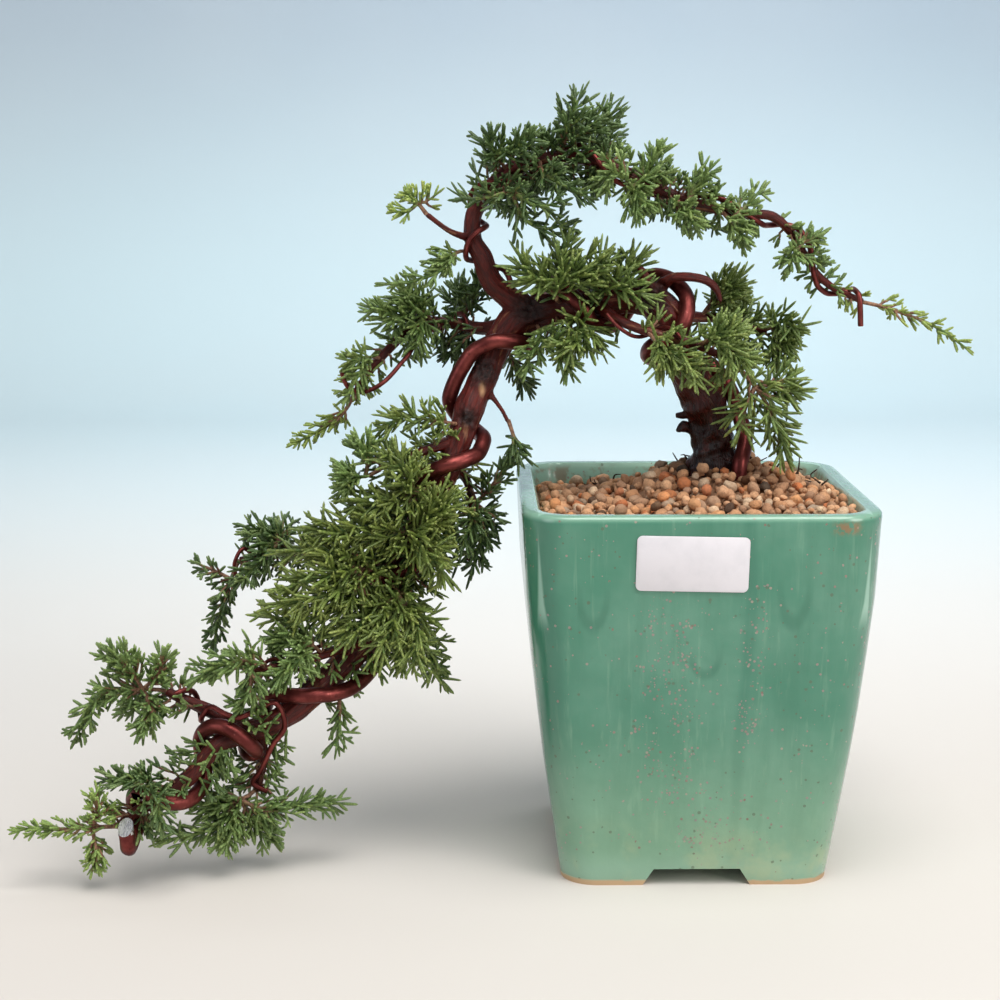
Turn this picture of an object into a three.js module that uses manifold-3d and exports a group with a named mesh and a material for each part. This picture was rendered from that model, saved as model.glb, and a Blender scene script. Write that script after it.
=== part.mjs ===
// Semi-cascade juniper bonsai, wired, standing in a tall square glazed pot. Millimetres, up is +Z.
// The tree is laid out around the middle of the pot's underside; at the very end the group is moved
// so that its bounding box stands on the origin.
import * as THREE from 'three';
import { mergeVertices } from 'three/addons/utils/BufferGeometryUtils.js';
import ManifoldModule from 'manifold-3d';

const wasm = await ManifoldModule();
wasm.setup();
const { Manifold } = wasm;

// Pot
const POT_OUTER = [[0, 46], [6, 46.9], [45, 52.6], [80, 56.6], [101, 58.6], [126, 59.8], [129.6, 60],
  [131, 59.1]];
const POT_INNER = [[13, 41], [126, 53.1], [129.8, 53.5], [131, 54.4], [132, 54.4]];
const CORNER_OUTER = 16;
const CORNER_INNER = 10.5;
const FOOT_HEIGHT = 6;
const FOOT_WIDTH = 9;
const NOTCH_BOTTOM = 37;
const NOTCH_TOP = 29.5;
const FLOOR_TOP = 13;
const DRAIN_RADIUS = 11;
const DRAIN_SIDES = 16;
const RIM_HALF = 60;
const CORNER_AT = 53.5;
const POT_CORNER_STEPS = 4;
const RECESS_CORNER = 6;
const GAP = 0.3;

// Label
const LABEL = { left: -23, right: 14, low: 106, high: 124.5, corner: 1.8, thick: 0.4, tilt: 1.2 };

// Screen over the drain hole
const SCREEN = { size: 30, thick: 1.2, bars: 4, bar: 3 };

// Soil
const SOIL_CELLS = 13;
const GRAIN_HEIGHT = 1.5;
const GRAIN_WOBBLE = 0.9;
const GRAIN_SINK = 0.8;
const GRAIN_UNEVEN = 0.7;
const SOIL_HALF = 52.8;
const SOIL_LEVEL = 126.4;
const MOUND = { x: 11, y: 2, rise: 14.5, spread: 22 };
const TRUNK_HOLE = { x: 8.9, y: 0, bottom: 122.6, radius: 10.15, sides: 16 };
const WIRE_HOLE = { x: 16.6, y: -11.2, bottom: 127.6, radius: 3.5, sides: 12 };
const HOLE_TALL = 40;

// Trunk and branches: sides and [x, y, z, radius] down the middle of the wood
const WOOD = {
  trunk: [8, [[9, 0, 123, 9.6], [9, 0, 137, 9.6], [8.6, 0, 145, 8.3], [7.4, 0, 153, 7.4], [4.6, -1, 162, 7],
    [-1, -2, 172, 6.6], [-6, -3, 182, 6.5], [-8, -4, 190, 6.4], [-14, -3, 197, 6.3], [-23, 0, 198, 6.1],
    [-35, 3, 196, 6], [-49, 4, 193, 5.9], [-60, 4, 190, 5.7], [-67, 2, 182, 5.4], [-72, -2, 171, 5.1],
    [-77, -5, 161, 4.9], [-80, -8, 152, 4.8], [-84, -11, 142, 4.7], [-90, -12, 131, 4.7],
    [-96, -11, 119, 4.6], [-101, -9, 107, 4.6], [-106, -9, 92, 4.7], [-114, -12, 78, 4.8],
    [-125, -17, 68, 5], [-136, -23, 59, 4.6], [-146, -28, 53, 4.2], [-156, -33, 51, 3.7],
    [-165, -37, 47, 3.2], [-173, -40, 38, 2.9], [-183, -43, 31, 2.5], [-191, -45, 27, 2.1],
    [-197, -46, 22, 1.6]]],
  apex: [5, [[-55, 4, 192, 4.8], [-64, 3, 198, 4.2], [-70, 1, 204, 3.9], [-73, 0, 212, 3.5],
    [-76, 0, 218, 3.1], [-76, 2, 226, 2.9], [-71, 4, 234, 2.7], [-64, 4, 241, 2.6], [-53, 2, 245, 2.5],
    [-39, -2, 246, 2.4], [-26, -5, 242, 2.3], [-12, -7, 235, 2.1], [2, -8, 230, 2], [17, -7, 227, 1.8],
    [27, -5, 226, 1.7], [35, -3, 219, 1.5], [42, 0, 208, 1.4], [50, 2, 201, 1.3], [61, 4, 196, 1.1]]],
  left_branch: [4, [[-62, 6, 189, 3], [-73, 13, 186, 2.4], [-85, 16, 188, 2.2], [-97, 14, 187, 2],
    [-105, 10, 180, 1.7], [-112, 7, 172, 1.4], [-118, 5, 164, 1.1]]],
  front_branch: [5, [[-33, 0, 196, 2.4], [-28, -11, 192, 1.9], [-18, -18, 188, 1.7], [-6, -21, 185, 1.6],
    [5, -21, 181, 1.4], [14, -19, 176, 1.2]]],
  back_branch: [4, [[-8, 0, 191, 2.6], [5, 12, 190, 1.9], [18, 16, 188, 1.6], [29, 16, 184, 1.2]]],
  jin: [4, [[-13, -2, 198, 2.6], [-8, -8, 205, 1.8], [2, -11, 205, 1.6], [7, -11, 202, 1.4],
    [9, -11, 197, 0.7]]],
  stub: [4, [[-11, -4, 197, 3], [-15, -9, 202, 2.4], [-19, -11, 209, 1.2]]],
  light_twig: [4, [[-76, 0, 218, 1.6], [-84, -5, 221, 1.1], [-92, -8, 227, 1]]],
  upper_left: [4, [[-81, -8, 149, 2.2], [-91, -16, 147, 1.7], [-101, -21, 144, 1.3], [-109, -23, 141, 1]]],
  bare_twig: [4, [[-71, -2, 165, 1.6], [-69, -5, 163, 1], [-66, -7, 159, 0.8], [-64, -8, 155, 0.8]]],
  right_low: [4, [[-84, -8, 141, 2.2], [-78, 2, 132, 1.6], [-77, 5, 118, 1.4], [-78, 6, 103, 1.1]]],
  mid_left: [5, [[-101, -7, 105, 2.4], [-115, 4, 104, 1.8], [-133, 8, 105, 1.5], [-149, 7, 105, 1.2],
    [-160, 5, 104, 1]]],
  front_left: [5, [[-114, -13, 79, 2.2], [-128, -27, 77, 1.7], [-141, -33, 75, 1.4], [-154, -36, 73, 1]]],
  low_right: [4, [[-106, -8, 92, 2.2], [-100, 0, 82, 1.5], [-98, 2, 70, 1.1]]],
  pad_branch: [5, [[-155, -32, 51, 2.8], [-165, -31, 57, 2.4], [-174, -30, 61, 2.1], [-182, -30, 65, 1.6]]],
  bottom_branch: [5, [[-150, -29, 52, 2.4], [-150, -26, 39, 1.8], [-152, -27, 28, 1.4]]],
  stub_low: [4, [[4, -1, 158, 1.4], [0, -2, 157, 1.1], [-5, -3, 157, 0.8]]],
  stub_lower: [4, [[3, -1, 150, 1.4], [-2, -3, 153, 1.1], [-5, -4, 151, 0.8]]],
};

// Training wires. A turn is [place along the host, angle]: place 2.5 is midway between the host's
// third and fourth points; angle 0 faces the front, 90 the right of a rising stretch. `lead` and
// `tail` are loose ends that leave the wood.
const WIRES = {
  trunk_wire: { host: 'trunk', radius: 2.75, sides: 5, step: 28, slack: 0.45,
    lead: [[16.6, -11.2, 128], [16.6, -11.2, 140], [18.2, -8.6, 144.5], [19.2, -4.5, 149.5]],
    turns: [[3.1, 80], [3.6, 95], [4.2, 108], [4.7, 124], [5.5, 210], [6.2, 300], [6.7, 370], [7.5, 440],
      [8.3, 485], [9, 560], [9.6, 630], [10.2, 720], [10.8, 800], [11.5, 900], [12.2, 970], [12.9, 1060],
      [13.2, 1092], [13.7, 1140], [14.4, 1170], [15, 1195], [15.5, 1260], [16, 1340], [16.5, 1370],
      [17.1, 1440], [18, 1525], [18.8, 1620], [19.5, 1710], [20.2, 1800], [21, 1890], [21.7, 1980],
      [22.4, 2065], [22.9, 2095], [23.4, 2130], [24.1, 2190], [24.6, 2250], [25.1, 2340], [25.6, 2430],
      [26.2, 2520], [26.9, 2625], [27.6, 2715], [28.3, 2800], [29, 2880], [29.6, 2970], [30.1, 3060],
      [30.6, 3150]],
    tail: [[-193, -51, 16], [-193, -53, 20], [-194, -53, 27]] },
  apex_wire: { host: 'apex', radius: 1, sides: 4, step: 30, slack: 0.36, lead: [],
    turns: [[1.2, 30], [2, 100], [3, 230], [4, 350], [4.6, 450], [5.2, 540], [6, 660], [7, 770], [8, 880],
      [9, 1000], [10, 1160], [11, 1230], [12, 1320], [13, 1440], [13.6, 1510], [14.3, 1580], [15, 1690],
      [16, 1810], [17, 1920], [17.5, 2000]],
    tail: [[58, -3, 199], [59, -3, 188]] },
  left_wire: { host: 'left_branch', radius: 1, sides: 4, step: 30, slack: 0.3, lead: [],
    turns: [[1.3, 0], [1.8, 120], [2.2, 240], [2.6, 350], [3, 440]],
    tail: [[-97, 6, 181], [-102, 2, 174], [-108, -1, 168], [-115, -2, 165], [-120, -2, 167],
      [-122, -2, 172]] },
  front_wire: { host: 'front_branch', radius: 0.9, sides: 4, step: 30, slack: 0.3, lead: [],
    turns: [[1, 0], [1.6, 60], [2.2, 180], [2.8, 300], [3.3, 400], [4, 500]],
    tail: [[15, -25, 181], [17, -25, 178], [14, -25, 175], [9, -25, 174]] },
  pad_wire: { host: 'pad_branch', radius: 1.3, sides: 4, step: 30, slack: 0.3, lead: [],
    turns: [[2.6, 20], [2, 130], [1.4, 260]],
    tail: [[-166, -36, 61], [-158, -40, 58], [-151, -38, 60], [-144, -38, 63], [-141, -35, 54],
      [-146, -34, 46], [-150, -32, 37], [-153, -30, 32], [-148, -30, 29]] },
  mid_wire: { host: 'mid_left', radius: 0.9, sides: 4, step: 30, slack: 0.3, lead: [],
    turns: [[1, 0], [1.5, 150], [2, 300], [2.5, 450], [3, 600], [3.4, 720]],
    tail: [[-158, 0, 109], [-161, -1, 104], [-161, 2, 99]] },
  low_wire: { host: 'front_left', radius: 0.9, sides: 4, step: 30, slack: 0.3, lead: [],
    turns: [[0.9, 60], [1.3, 180], [1.8, 320], [2.2, 450], [2.6, 560]],
    tail: [] },
};

// Needles stand on the faces of slim three-sided twigs, each ring of a twig turned a sixth of a
// turn from the last. Tone 0 is the dark inner growth, 1 the common green, 2 the young tips.
const TONES = [
  { color: 0x2f5232, needle: 8.4 },
  { color: 0x4a6d38, needle: 7.6 },
  { color: 0x7d9a48, needle: 5.2 },
];
const TWIG_RADIUS = 0.8;
const TWIG_TAPER = 0.35;
const TWIG_BAND = 5.9;
const SHOOT_BAND = 5.4;
const SHOOT_RADIUS = 0.7;
const NEEDLE_ROOT = 0.85;
const NEEDLE_LEAN = 46;
const NEEDLES_KEPT = 0.9;
const SHOOTS_KEPT = 0.09;
const CLEAR = 0.35;
const RIM_REACH = 60.2;
const RIM_WIDTH = 6.8;
const RIM_TOP = 131.2;
const GRAIN_ROOM = 2.4;
const TABLE_ROOM = 0.9;

// Sprays: tone, then the stem and its forks as [shoots, reach, points]. A stem starts inside the
// wood it grows from; a fork leaves the stem at the stem's second point.
const SPRAYS = {
  crown_left: [0, [5, 12, [[-64, 4, 241], [-68, -3, 247], [-71, -5, 252]]],
    [5, 11, [[-61, -9, 249], [-57, -11, 253]]]],
  crown_front: [0, [5, 13, [[-68, 4, 236], [-63, -10, 235], [-55, -16, 230], [-47, -18, 231]]],
    [3, 9, [[-70, -14, 233], [-79, -12, 232]]],
    [4, 10, [[-59, -12, 226], [-52, -12, 222], [-44, -10, 224]]]],
  crown_back: [0, [5, 13, [[-60, 3, 243], [-56, 16, 239], [-44, 22, 241], [-32, 20, 245]]],
    [4, 12, [[-59, 22, 234], [-62, 22, 228]]]],
  crown_middle: [0, [6, 12, [[-53, 2, 245], [-52, -11, 241], [-46, -16, 237], [-38, -17, 233]]]],
  crown_top: [0, [6, 12, [[-46, 0, 246], [-44, -5, 253], [-42, -8, 260], [-40, -8, 266]]],
    [5, 12, [[-36, -4, 255], [-28, -3, 261]]]],
  crown_top_back: [0, [5, 12, [[-33, -4, 244], [-30, 8, 250], [-27, 15, 256]]],
    [4, 11, [[-38, 17, 255], [-43, 20, 260]]]],
  arch_front: [1, [6, 12, [[-25, -5, 241], [-22, -15, 236], [-20, -18, 228]]],
    [4, 10, [[-17, -14, 241], [-13, -13, 249]]],
    [4, 11, [[-28, -16, 242], [-32, -18, 237]]]],
  arch_back: [0, [6, 12, [[-18, -6, 238], [-13, 6, 233], [0, 10, 226], [11, 9, 221]]],
    [4, 11, [[-14, 14, 239], [-12, 18, 245]]]],
  arch_middle: [1, [5, 11, [[-7, -7, 233], [-5, -16, 229], [-1, -18, 223]]],
    [4, 10, [[-1, -14, 235], [4, -13, 242]]]],
  arch_end: [1, [5, 11, [[8, -8, 229], [11, -15, 225], [16, -17, 218]]],
    [3, 8, [[17, -13, 230], [22, -10, 235]]]],
  tip_bend: [1, [5, 9, [[36, -3, 218], [34, -11, 214], [32, -13, 209]]],
    [4, 8, [[38, -9, 218], [43, -7, 219]]],
    [3, 7, [[40, -6, 212], [45, -2, 210]]]],
  tip_long: [2, [8, 7, [[60, 4, 196], [69, 3, 194], [76, 4, 191.5], [84, 4, 188.5], [91, 4, 184.5],
      [98, 4, 179.5]]]],
  light_tuft: [2, [4, 9, [[-92, -8, 227], [-95, -10, 231], [-98, -11, 234]]],
    [3, 7, [[-98, -12, 228], [-103, -12, 228]]],
    [2, 8, [[-92, -8, 231], [-91, -8, 235]]]],
  side_tuft: [1, [5, 8, [[-75, 0, 214], [-82, -3, 213], [-88, -7, 210]]],
    [3, 6, [[-87, -9, 208], [-97, -8, 204], [-106, -7, 203]]]],
  left_inner: [0, [6, 12, [[-76, 13, 186], [-79, 22, 190], [-82, 26, 199]]],
    [4, 11, [[-80, 22, 182], [-84, 20, 176]]],
    [5, 11, [[-76, 17, 197], [-72, 13, 204]]]],
  left_middle: [1, [5, 12, [[-90, 15, 187], [-94, 10, 193], [-100, 8, 198]]],
    [5, 11, [[-103, 4, 191], [-111, 1, 194]]],
    [4, 11, [[-94, 3, 188], [-96, 2, 180]]]],
  left_bend: [1, [4, 9, [[-109, 8, 176], [-113, 1, 177], [-119, -1, 176]]],
    [3, 9, [[-115, -3, 173], [-121, -4, 163]]]],
  left_tip: [2, [8, 8, [[-118, 5, 164], [-122, 4, 157], [-130, 4, 151], [-140, 4, 146]]]],
  fan_top: [1, [7, 13, [[-45, 4, 194], [-46, -10, 203], [-46, -13, 210], [-45, -13, 218]]],
    [5, 11, [[-53, -13, 205], [-60, -13, 209]]],
    [5, 12, [[-38, -13, 207], [-31, -13, 211]]]],
  fan_right: [1, [5, 11, [[-33, 3, 196], [-31, -8, 202], [-24, -10, 207], [-19, -10, 212]]],
    [4, 11, [[-26, -13, 202], [-19, -16, 200]]]],
  fan_low: [1, [5, 11, [[-39, 3, 195], [-37, -9, 190], [-33, -12, 183]]],
    [4, 10, [[-39, -13, 185], [-44, -16, 182]]]],
  arch_rear: [0, [6, 13, [[-37, 3, 196], [-39, 17, 200], [-43, 23, 206]]],
    [5, 12, [[-30, 22, 198], [-22, 24, 196]]]],
  hang_light: [1, [5, 10, [[-54, 4, 189], [-53, -10, 184], [-58, -12, 176]]],
    [4, 9, [[-47, -11, 182], [-43, -10, 174]]]],
  hang_dark: [0, [5, 10, [[-65, 4, 183], [-62, 13, 174], [-57, 15, 165]]]],
  right_front: [1, [5, 11, [[-17, -18, 188], [-14, -25, 184], [-12, -27, 178]]],
    [5, 11, [[-7, -29, 180], [-1, -31, 174]]]],
  right_upper: [1, [5, 11, [[0, -21, 183], [4, -28, 186], [12, -29, 189]]],
    [5, 10, [[11, -31, 181], [17, -30, 178]]]],
  right_mass: [1, [7, 13, [[5, 12, 190], [9, 10, 196], [16, 6, 202]]],
    [6, 12, [[14, 20, 195], [22, 28, 192]]]],
  right_far: [1, [7, 11, [[28, 16, 185], [31, 14, 186], [36, 12, 183]]],
    [4, 10, [[31, 10, 180], [32, 8, 174]]],
    [4, 9, [[33, 5, 189], [38, 0, 187]]]],
  right_hang: [1, [9, 13, [[14, -19, 176], [20, -21, 169], [26, -21, 160], [31, -19, 147]]],
    [4, 11, [[17, -23, 163], [15, -23, 155]]],
    [4, 11, [[28, -18, 169], [34, -16, 167]]]],
  upper_left_top: [1, [7, 11, [[-79, -7, 154], [-89, -18, 157], [-100, -22, 159], [-107, -23, 155]]]],
  upper_left_end: [1, [6, 12, [[-108, -23, 141], [-113, -26, 139], [-119, -27, 139]]],
    [4, 11, [[-112, -25, 146], [-115, -24, 150]]]],
  upper_left_low: [1, [7, 12, [[-89, -12, 134], [-97, -23, 132], [-108, -28, 130], [-117, -28, 131]]],
    [5, 11, [[-98, -29, 140], [-105, -31, 147]]]],
  bare_twig_tuft: [0, [4, 8, [[-64, -8, 156], [-62, -9, 150], [-60.5, -9, 143]]]],
  right_side: [0, [7, 11, [[-77, 2, 130], [-75, -2, 125], [-73, -3, 116], [-77, 0, 100]]],
    [4, 10, [[-69, -4, 133], [-65, -5, 139]]],
    [4, 10, [[-71, 6, 119], [-73, 13, 107]]],
    [5, 10, [[-77, -14, 121], [-80, -19, 113]]]],
  heart_front: [1, [7, 13, [[-97, -11, 118], [-99, -23, 119], [-92, -30, 114], [-86, -30, 106]]],
    [5, 12, [[-91, -26, 125], [-86, -28, 131]]],
    [8, 12, [[-108, -26, 121], [-120, -29, 121], [-130, -30, 121]]]],
  heart_left: [1, [8, 13, [[-102, -8, 103], [-113, -25, 106], [-126, -32, 106], [-140, -33, 102]]],
    [7, 11, [[-119, -28, 96], [-131, -31, 91], [-147, -30, 91]]],
    [6, 11, [[-127, -29, 114], [-140, -27, 113]]],
    [6, 11, [[-128, -34, 99], [-143, -36, 97]]]],
  heart_back: [0, [7, 13, [[-101, -9, 111], [-101, 8, 112], [-107, 20, 100]]],
    [5, 12, [[-111, 15, 114], [-119, 18, 120]]]],
  heart_low: [1, [7, 12, [[-104, -9, 98], [-102, -23, 97], [-104, -31, 89], [-109, -34, 80]]],
    [6, 11, [[-96, -29, 88], [-97, -32, 75]]],
    [6, 11, [[-113, -29, 90], [-122, -32, 84]]]],
  far_left_top: [0, [6, 11, [[-140, 8, 105], [-145, 3, 111], [-157, 4, 116]]],
    [5, 12, [[-146, 14, 112], [-152, 22, 106]]],
    [5, 10, [[-151, -5, 106], [-158, -10, 99]]]],
  far_left_droop: [0, [8, 9, [[-160, 5, 104], [-163, 4, 97], [-167, 4, 85], [-170, 4, 72]]],
    [4, 7, [[-168, 3, 100], [-175, 3, 103]]]],
  lower_left_top: [1, [6, 11, [[-128, -27, 77], [-134, -32, 83], [-144, -33, 84]]],
    [6, 10, [[-136, -40, 78], [-144, -43, 72]]]],
  lower_left_end: [1, [9, 11, [[-147, -34, 74], [-152, -42, 79], [-160, -44, 78], [-170, -42, 73]]],
    [6, 10, [[-152, -42, 68], [-157, -38, 60]]]],
  lower_right: [1, [6, 11, [[-101, -2, 84], [-99, -12, 81], [-103, -17, 72]]],
    [6, 10, [[-93, -8, 74], [-88, -4, 62]]]],
  under_twig: [1, [3, 9, [[-124, -18, 64], [-123, -22, 56], [-124, -22, 44]]]],
  pad_left: [1, [8, 12, [[-181, -30, 65], [-190, -31, 66], [-204, -31, 64], [-214, -30, 48]]],
    [7, 12, [[-194, -33, 74], [-201, -33, 80]]],
    [4, 11, [[-190, -24, 60], [-200, -16, 54]]],
    [5, 9, [[-186, -37, 60], [-190, -40, 54]]],
    [5, 10, [[-184, -34, 72], [-182, -35, 79]]]],
  end_top: [0, [6, 9, [[-183, -43, 31], [-190, -48, 38], [-200, -48, 39]]],
    [5, 10, [[-183, -54, 34], [-181, -57, 26]]]],
  end_tip: [2, [7, 8, [[-197, -46, 22], [-206, -47, 22], [-218, -46, 21], [-232, -45, 21]]],
    [6, 9, [[-205, -47, 15], [-206, -47, 8]]],
    [4, 9, [[-203, -51, 29], [-204, -52, 35]]]],
  bottom_pad: [1, [7, 12, [[-152, -27, 29], [-157, -33, 27], [-171, -36, 25]]],
    [8, 11, [[-147, -34, 23], [-134, -29, 24], [-122, -26, 23]]],
    [7, 12, [[-160, -35, 20], [-163, -36, 12]]],
    [5, 10, [[-168, -38, 18], [-183, -41, 15]]],
    [6, 12, [[-153, -30, 18], [-146, -27, 11]]]],
};

// Small vector sums on plain [x, y, z] lists
const add = (a, b, k = 1) => [a[0] + b[0] * k, a[1] + b[1] * k, a[2] + b[2] * k];
const sub = (a, b) => add(a, b, -1);
const dot = (a, b) => a[0] * b[0] + a[1] * b[1] + a[2] * b[2];
const size = (a) => Math.sqrt(dot(a, a));
const unit = (a) => {
  const long = size(a) || 1;
  return [a[0] / long, a[1] / long, a[2] / long];
};
const cross = (a, b) => [a[1] * b[2] - a[2] * b[1], a[2] * b[0] - a[0] * b[2], a[0] * b[1] - a[1] * b[0]];
const rad = (d) => d * Math.PI / 180;

// The same numbers every run
function seeded(seed) {
  let a = seed;
  return () => {
    a = (a * 16807) % 2147483647;
    return a / 2147483647;
  };
}

// A point between p1 and p2 on the smooth line through four points
function blend(p0, p1, p2, p3, t) {
  return p1.map((_, k) => 0.5 * (2 * p1[k] + (p2[k] - p0[k]) * t
    + (2 * p0[k] - 5 * p1[k] + 4 * p2[k] - p3[k]) * t * t
    + (3 * p1[k] - p0[k] - 3 * p2[k] + p3[k]) * t * t * t));
}

// A smooth line through the listed points, sampled about `step` apart. Extra columns ride along.
function smooth(points, step) {
  const out = [];
  for (let i = 0; i + 1 < points.length; i += 1) {
    const p0 = points[Math.max(0, i - 1)];
    const p1 = points[i];
    const p2 = points[i + 1];
    const p3 = points[Math.min(points.length - 1, i + 2)];
    const n = Math.max(1, Math.round(size(sub(p2.slice(0, 3), p1.slice(0, 3))) / step));
    for (let j = 0; j < n; j += 1) out.push(blend(p0, p1, p2, p3, j / n));
  }
  out.push(points[points.length - 1].slice());
  return out;
}

// Length of a line, and the point and heading at a distance along it
function lengths(path) {
  const out = [0];
  for (let i = 1; i < path.length; i += 1) out.push(out[i - 1] + size(sub(path[i], path[i - 1])));
  return out;
}

function along(path, dist, s) {
  let i = 1;
  while (i < path.length - 1 && dist[i] < s) i += 1;
  const t = (s - dist[i - 1]) / (dist[i] - dist[i - 1]);
  return { p: add(path[i - 1], sub(path[i], path[i - 1]), t), t: unit(sub(path[i], path[i - 1])) };
}

// Closed solids from points and outward faces, and from three.js geometries
function solid(points, faces) {
  const vertProperties = new Float32Array(points.flat());
  const triVerts = new Uint32Array(faces.flat());
  return new Manifold(new wasm.Mesh({ numProp: 3, vertProperties, triVerts }));
}

function fromGeometry(shape, x, y, z) {
  shape.translate(x, y, z);
  shape.deleteAttribute('normal');
  shape.deleteAttribute('uv');
  const merged = mergeVertices(shape);
  const vertProperties = new Float32Array(merged.attributes.position.array);
  const triVerts = new Uint32Array(merged.index.array);
  return new Manifold(new wasm.Mesh({ numProp: 3, vertProperties, triVerts }));
}

function box(wide, deep, tall, x, y, z) {
  return fromGeometry(new THREE.BoxGeometry(wide, deep, tall), x, y, z);
}

// Upright round plug standing on `bottom`
function plug(radius, sides, x, y, bottom, tall) {
  const shape = new THREE.CylinderGeometry(radius, radius, tall, sides);
  return fromGeometry(shape.rotateX(Math.PI / 2), x, y, bottom + tall / 2);
}

function geometry(body) {
  const mesh = body.getMesh();
  const made = new THREE.BufferGeometry();
  made.setAttribute('position', new THREE.BufferAttribute(new Float32Array(mesh.vertProperties), 3));
  made.setIndex(new THREE.BufferAttribute(new Uint32Array(mesh.triVerts), 1));
  return made;
}

// Skin over rings with equal numbers of points, closed at both ends
function loft(rings) {
  const n = rings[0].length;
  const faces = [];
  for (let k = 0; k + 1 < rings.length; k += 1) {
    for (let j = 0; j < n; j += 1) {
      const a = k * n + j;
      const b = k * n + (j + 1) % n;
      faces.push([a, b, b + n], [a, b + n, a + n]);
    }
  }
  const top = (rings.length - 1) * n;
  for (let j = 1; j + 1 < n; j += 1) faces.push([0, j + 1, j], [top, top + j, top + j + 1]);
  return solid(rings.flat(), faces);
}

// Round bar along [x, y, z, radius] points; `grow` makes it fatter all over
function bar(points, sides, grow = 0) {
  const rings = [];
  let u = null;
  points.forEach((p, k) => {
    const before = points[Math.max(0, k - 1)];
    const after = points[Math.min(points.length - 1, k + 1)];
    const t = unit(sub(after, before));
    if (!u) u = Math.abs(t[1]) < 0.9 ? unit(cross([0, 1, 0], t)) : unit(cross([1, 0, 0], t));
    u = unit(add(u, t, -dot(u, t)));
    const v = cross(t, u);
    const r = p[3] + grow;
    const shift = k === 0 ? -grow : k === points.length - 1 ? grow : 0;
    const middle = add(p.slice(0, 3), t, shift);
    rings.push(Array.from({ length: sides }, (_, j) => {
      const a = 2 * Math.PI * (j + 0.5) / sides;
      return add(add(middle, u, r * Math.cos(a)), v, r * Math.sin(a));
    }));
  });
  return loft(rings);
}

// Places already taken, as round bars; used to keep neighbours apart
const taken = [];
function take(path, radii, node) {
  for (let i = 0; i + 1 < path.length; i += 1) {
    taken.push({ a: path[i], b: path[i + 1], ra: radii(i), rb: radii(i + 1), node, path });
  }
}

// How far a point is from one bar's skin, and the way out
function fromBar(p, k) {
  const ab = sub(k.b, k.a);
  const ap = sub(p, k.a);
  const t = Math.min(1, Math.max(0, dot(ap, ab) / (dot(ab, ab) || 1)));
  const away = sub(ap, [ab[0] * t, ab[1] * t, ab[2] * t]);
  const d = size(away);
  return { d: d - (k.ra + (k.rb - k.ra) * t), away: unit(away) };
}

function soilTop(x, y) {
  const away = (x - MOUND.x) ** 2 + (y - MOUND.y) ** 2;
  return SOIL_LEVEL + MOUND.rise * Math.exp(-away / (2 * MOUND.spread ** 2)) - 0.05 * y + 0.015 * x;
}

// Distance to the table, the pot and the soil
function fromPot(p) {
  const side = Math.max(Math.abs(p[0]), Math.abs(p[1])) - RIM_REACH;
  const over = side > -RIM_WIDTH ? p[2] - RIM_TOP : p[2] - soilTop(p[0], p[1]) - GRAIN_ROOM;
  return Math.min(p[2] - TABLE_ROOM, Math.max(side, over));
}

// Move the middle of a stem or wire until it clears everything else
function bendClear(path, radius, node, rooted) {
  const near = taken.filter((k) => k.node !== node);
  for (let round = 0; round < 40; round += 1) {
    let moved = false;
    let free = !rooted;
    const push = path.map(() => [0, 0, 0]);
    path.forEach((p, i) => {
      let outside = true;
      for (const k of near) {
        const { d, away } = fromBar(p, k);
        const short = radius + CLEAR + 0.15 - d;
        if (short > 0 && k.node === 'trunk') outside = false;
        if (short <= 0 || (k.node === 'trunk' && !free)) continue;
        moved = true;
        push[i] = add(push[i], away, short * 0.7);
      }
      if (outside) free = true;
    });
    if (!moved) break;
    push.forEach((_, i) => {
      const a = push[Math.max(0, i - 1)];
      const b = push[Math.min(path.length - 1, i + 1)];
      path[i] = add(add(add(path[i], push[i], 0.6), a, 0.3), b, 0.3);
    });
  }
  return path;
}

// Leave out the points that a straight run passes within `slack` of
function thin(path, slack) {
  const out = [path[0]];
  let from = 0;
  for (let i = 1; i + 1 < path.length; i += 1) {
    const run = { a: path[from], b: path[i + 1], ra: 0, rb: 0 };
    if (path.slice(from + 1, i + 1).every((p) => fromBar(p, run).d < slack)) continue;
    out.push(path[i]);
    from = i;
  }
  out.push(path[path.length - 1]);
  return out;
}

// Room for a needle or a shoot running from a to b. Pieces of the same spray may come close, and
// what grows on the same twig is laid out so that it never meets.
function roomFor(a, b, ra, rb, node, path, gap) {
  for (let j = 0; j <= 5; j += 1) {
    const t = j / 5;
    const p = add(a, sub(b, a), t);
    const r = ra + (rb - ra) * t;
    if (fromPot(p) < r + gap) return false;
    for (const k of taken) {
      if (k.path === path) continue;
      if (Math.abs(k.a[0] - p[0]) > 24 || Math.abs(k.a[2] - p[2]) > 24) continue;
      if (fromBar(p, k).d < r + (k.node === node ? 0 : gap)) return false;
    }
  }
  return true;
}

// Where a twig's rings stand: its root, then evenly from `start`, then the tip
function stations(path, start, band) {
  const dist = lengths(path);
  const whole = dist[dist.length - 1];
  const bands = Math.max(1, Math.round((whole - start - 2) / band));
  const line = [path[0]];
  const stretch = whole - start - 2;
  for (let k = 0; k <= bands; k += 1) line.push(along(path, dist, start + stretch * k / bands).p);
  line.push(path[path.length - 1]);
  return line;
}

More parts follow.
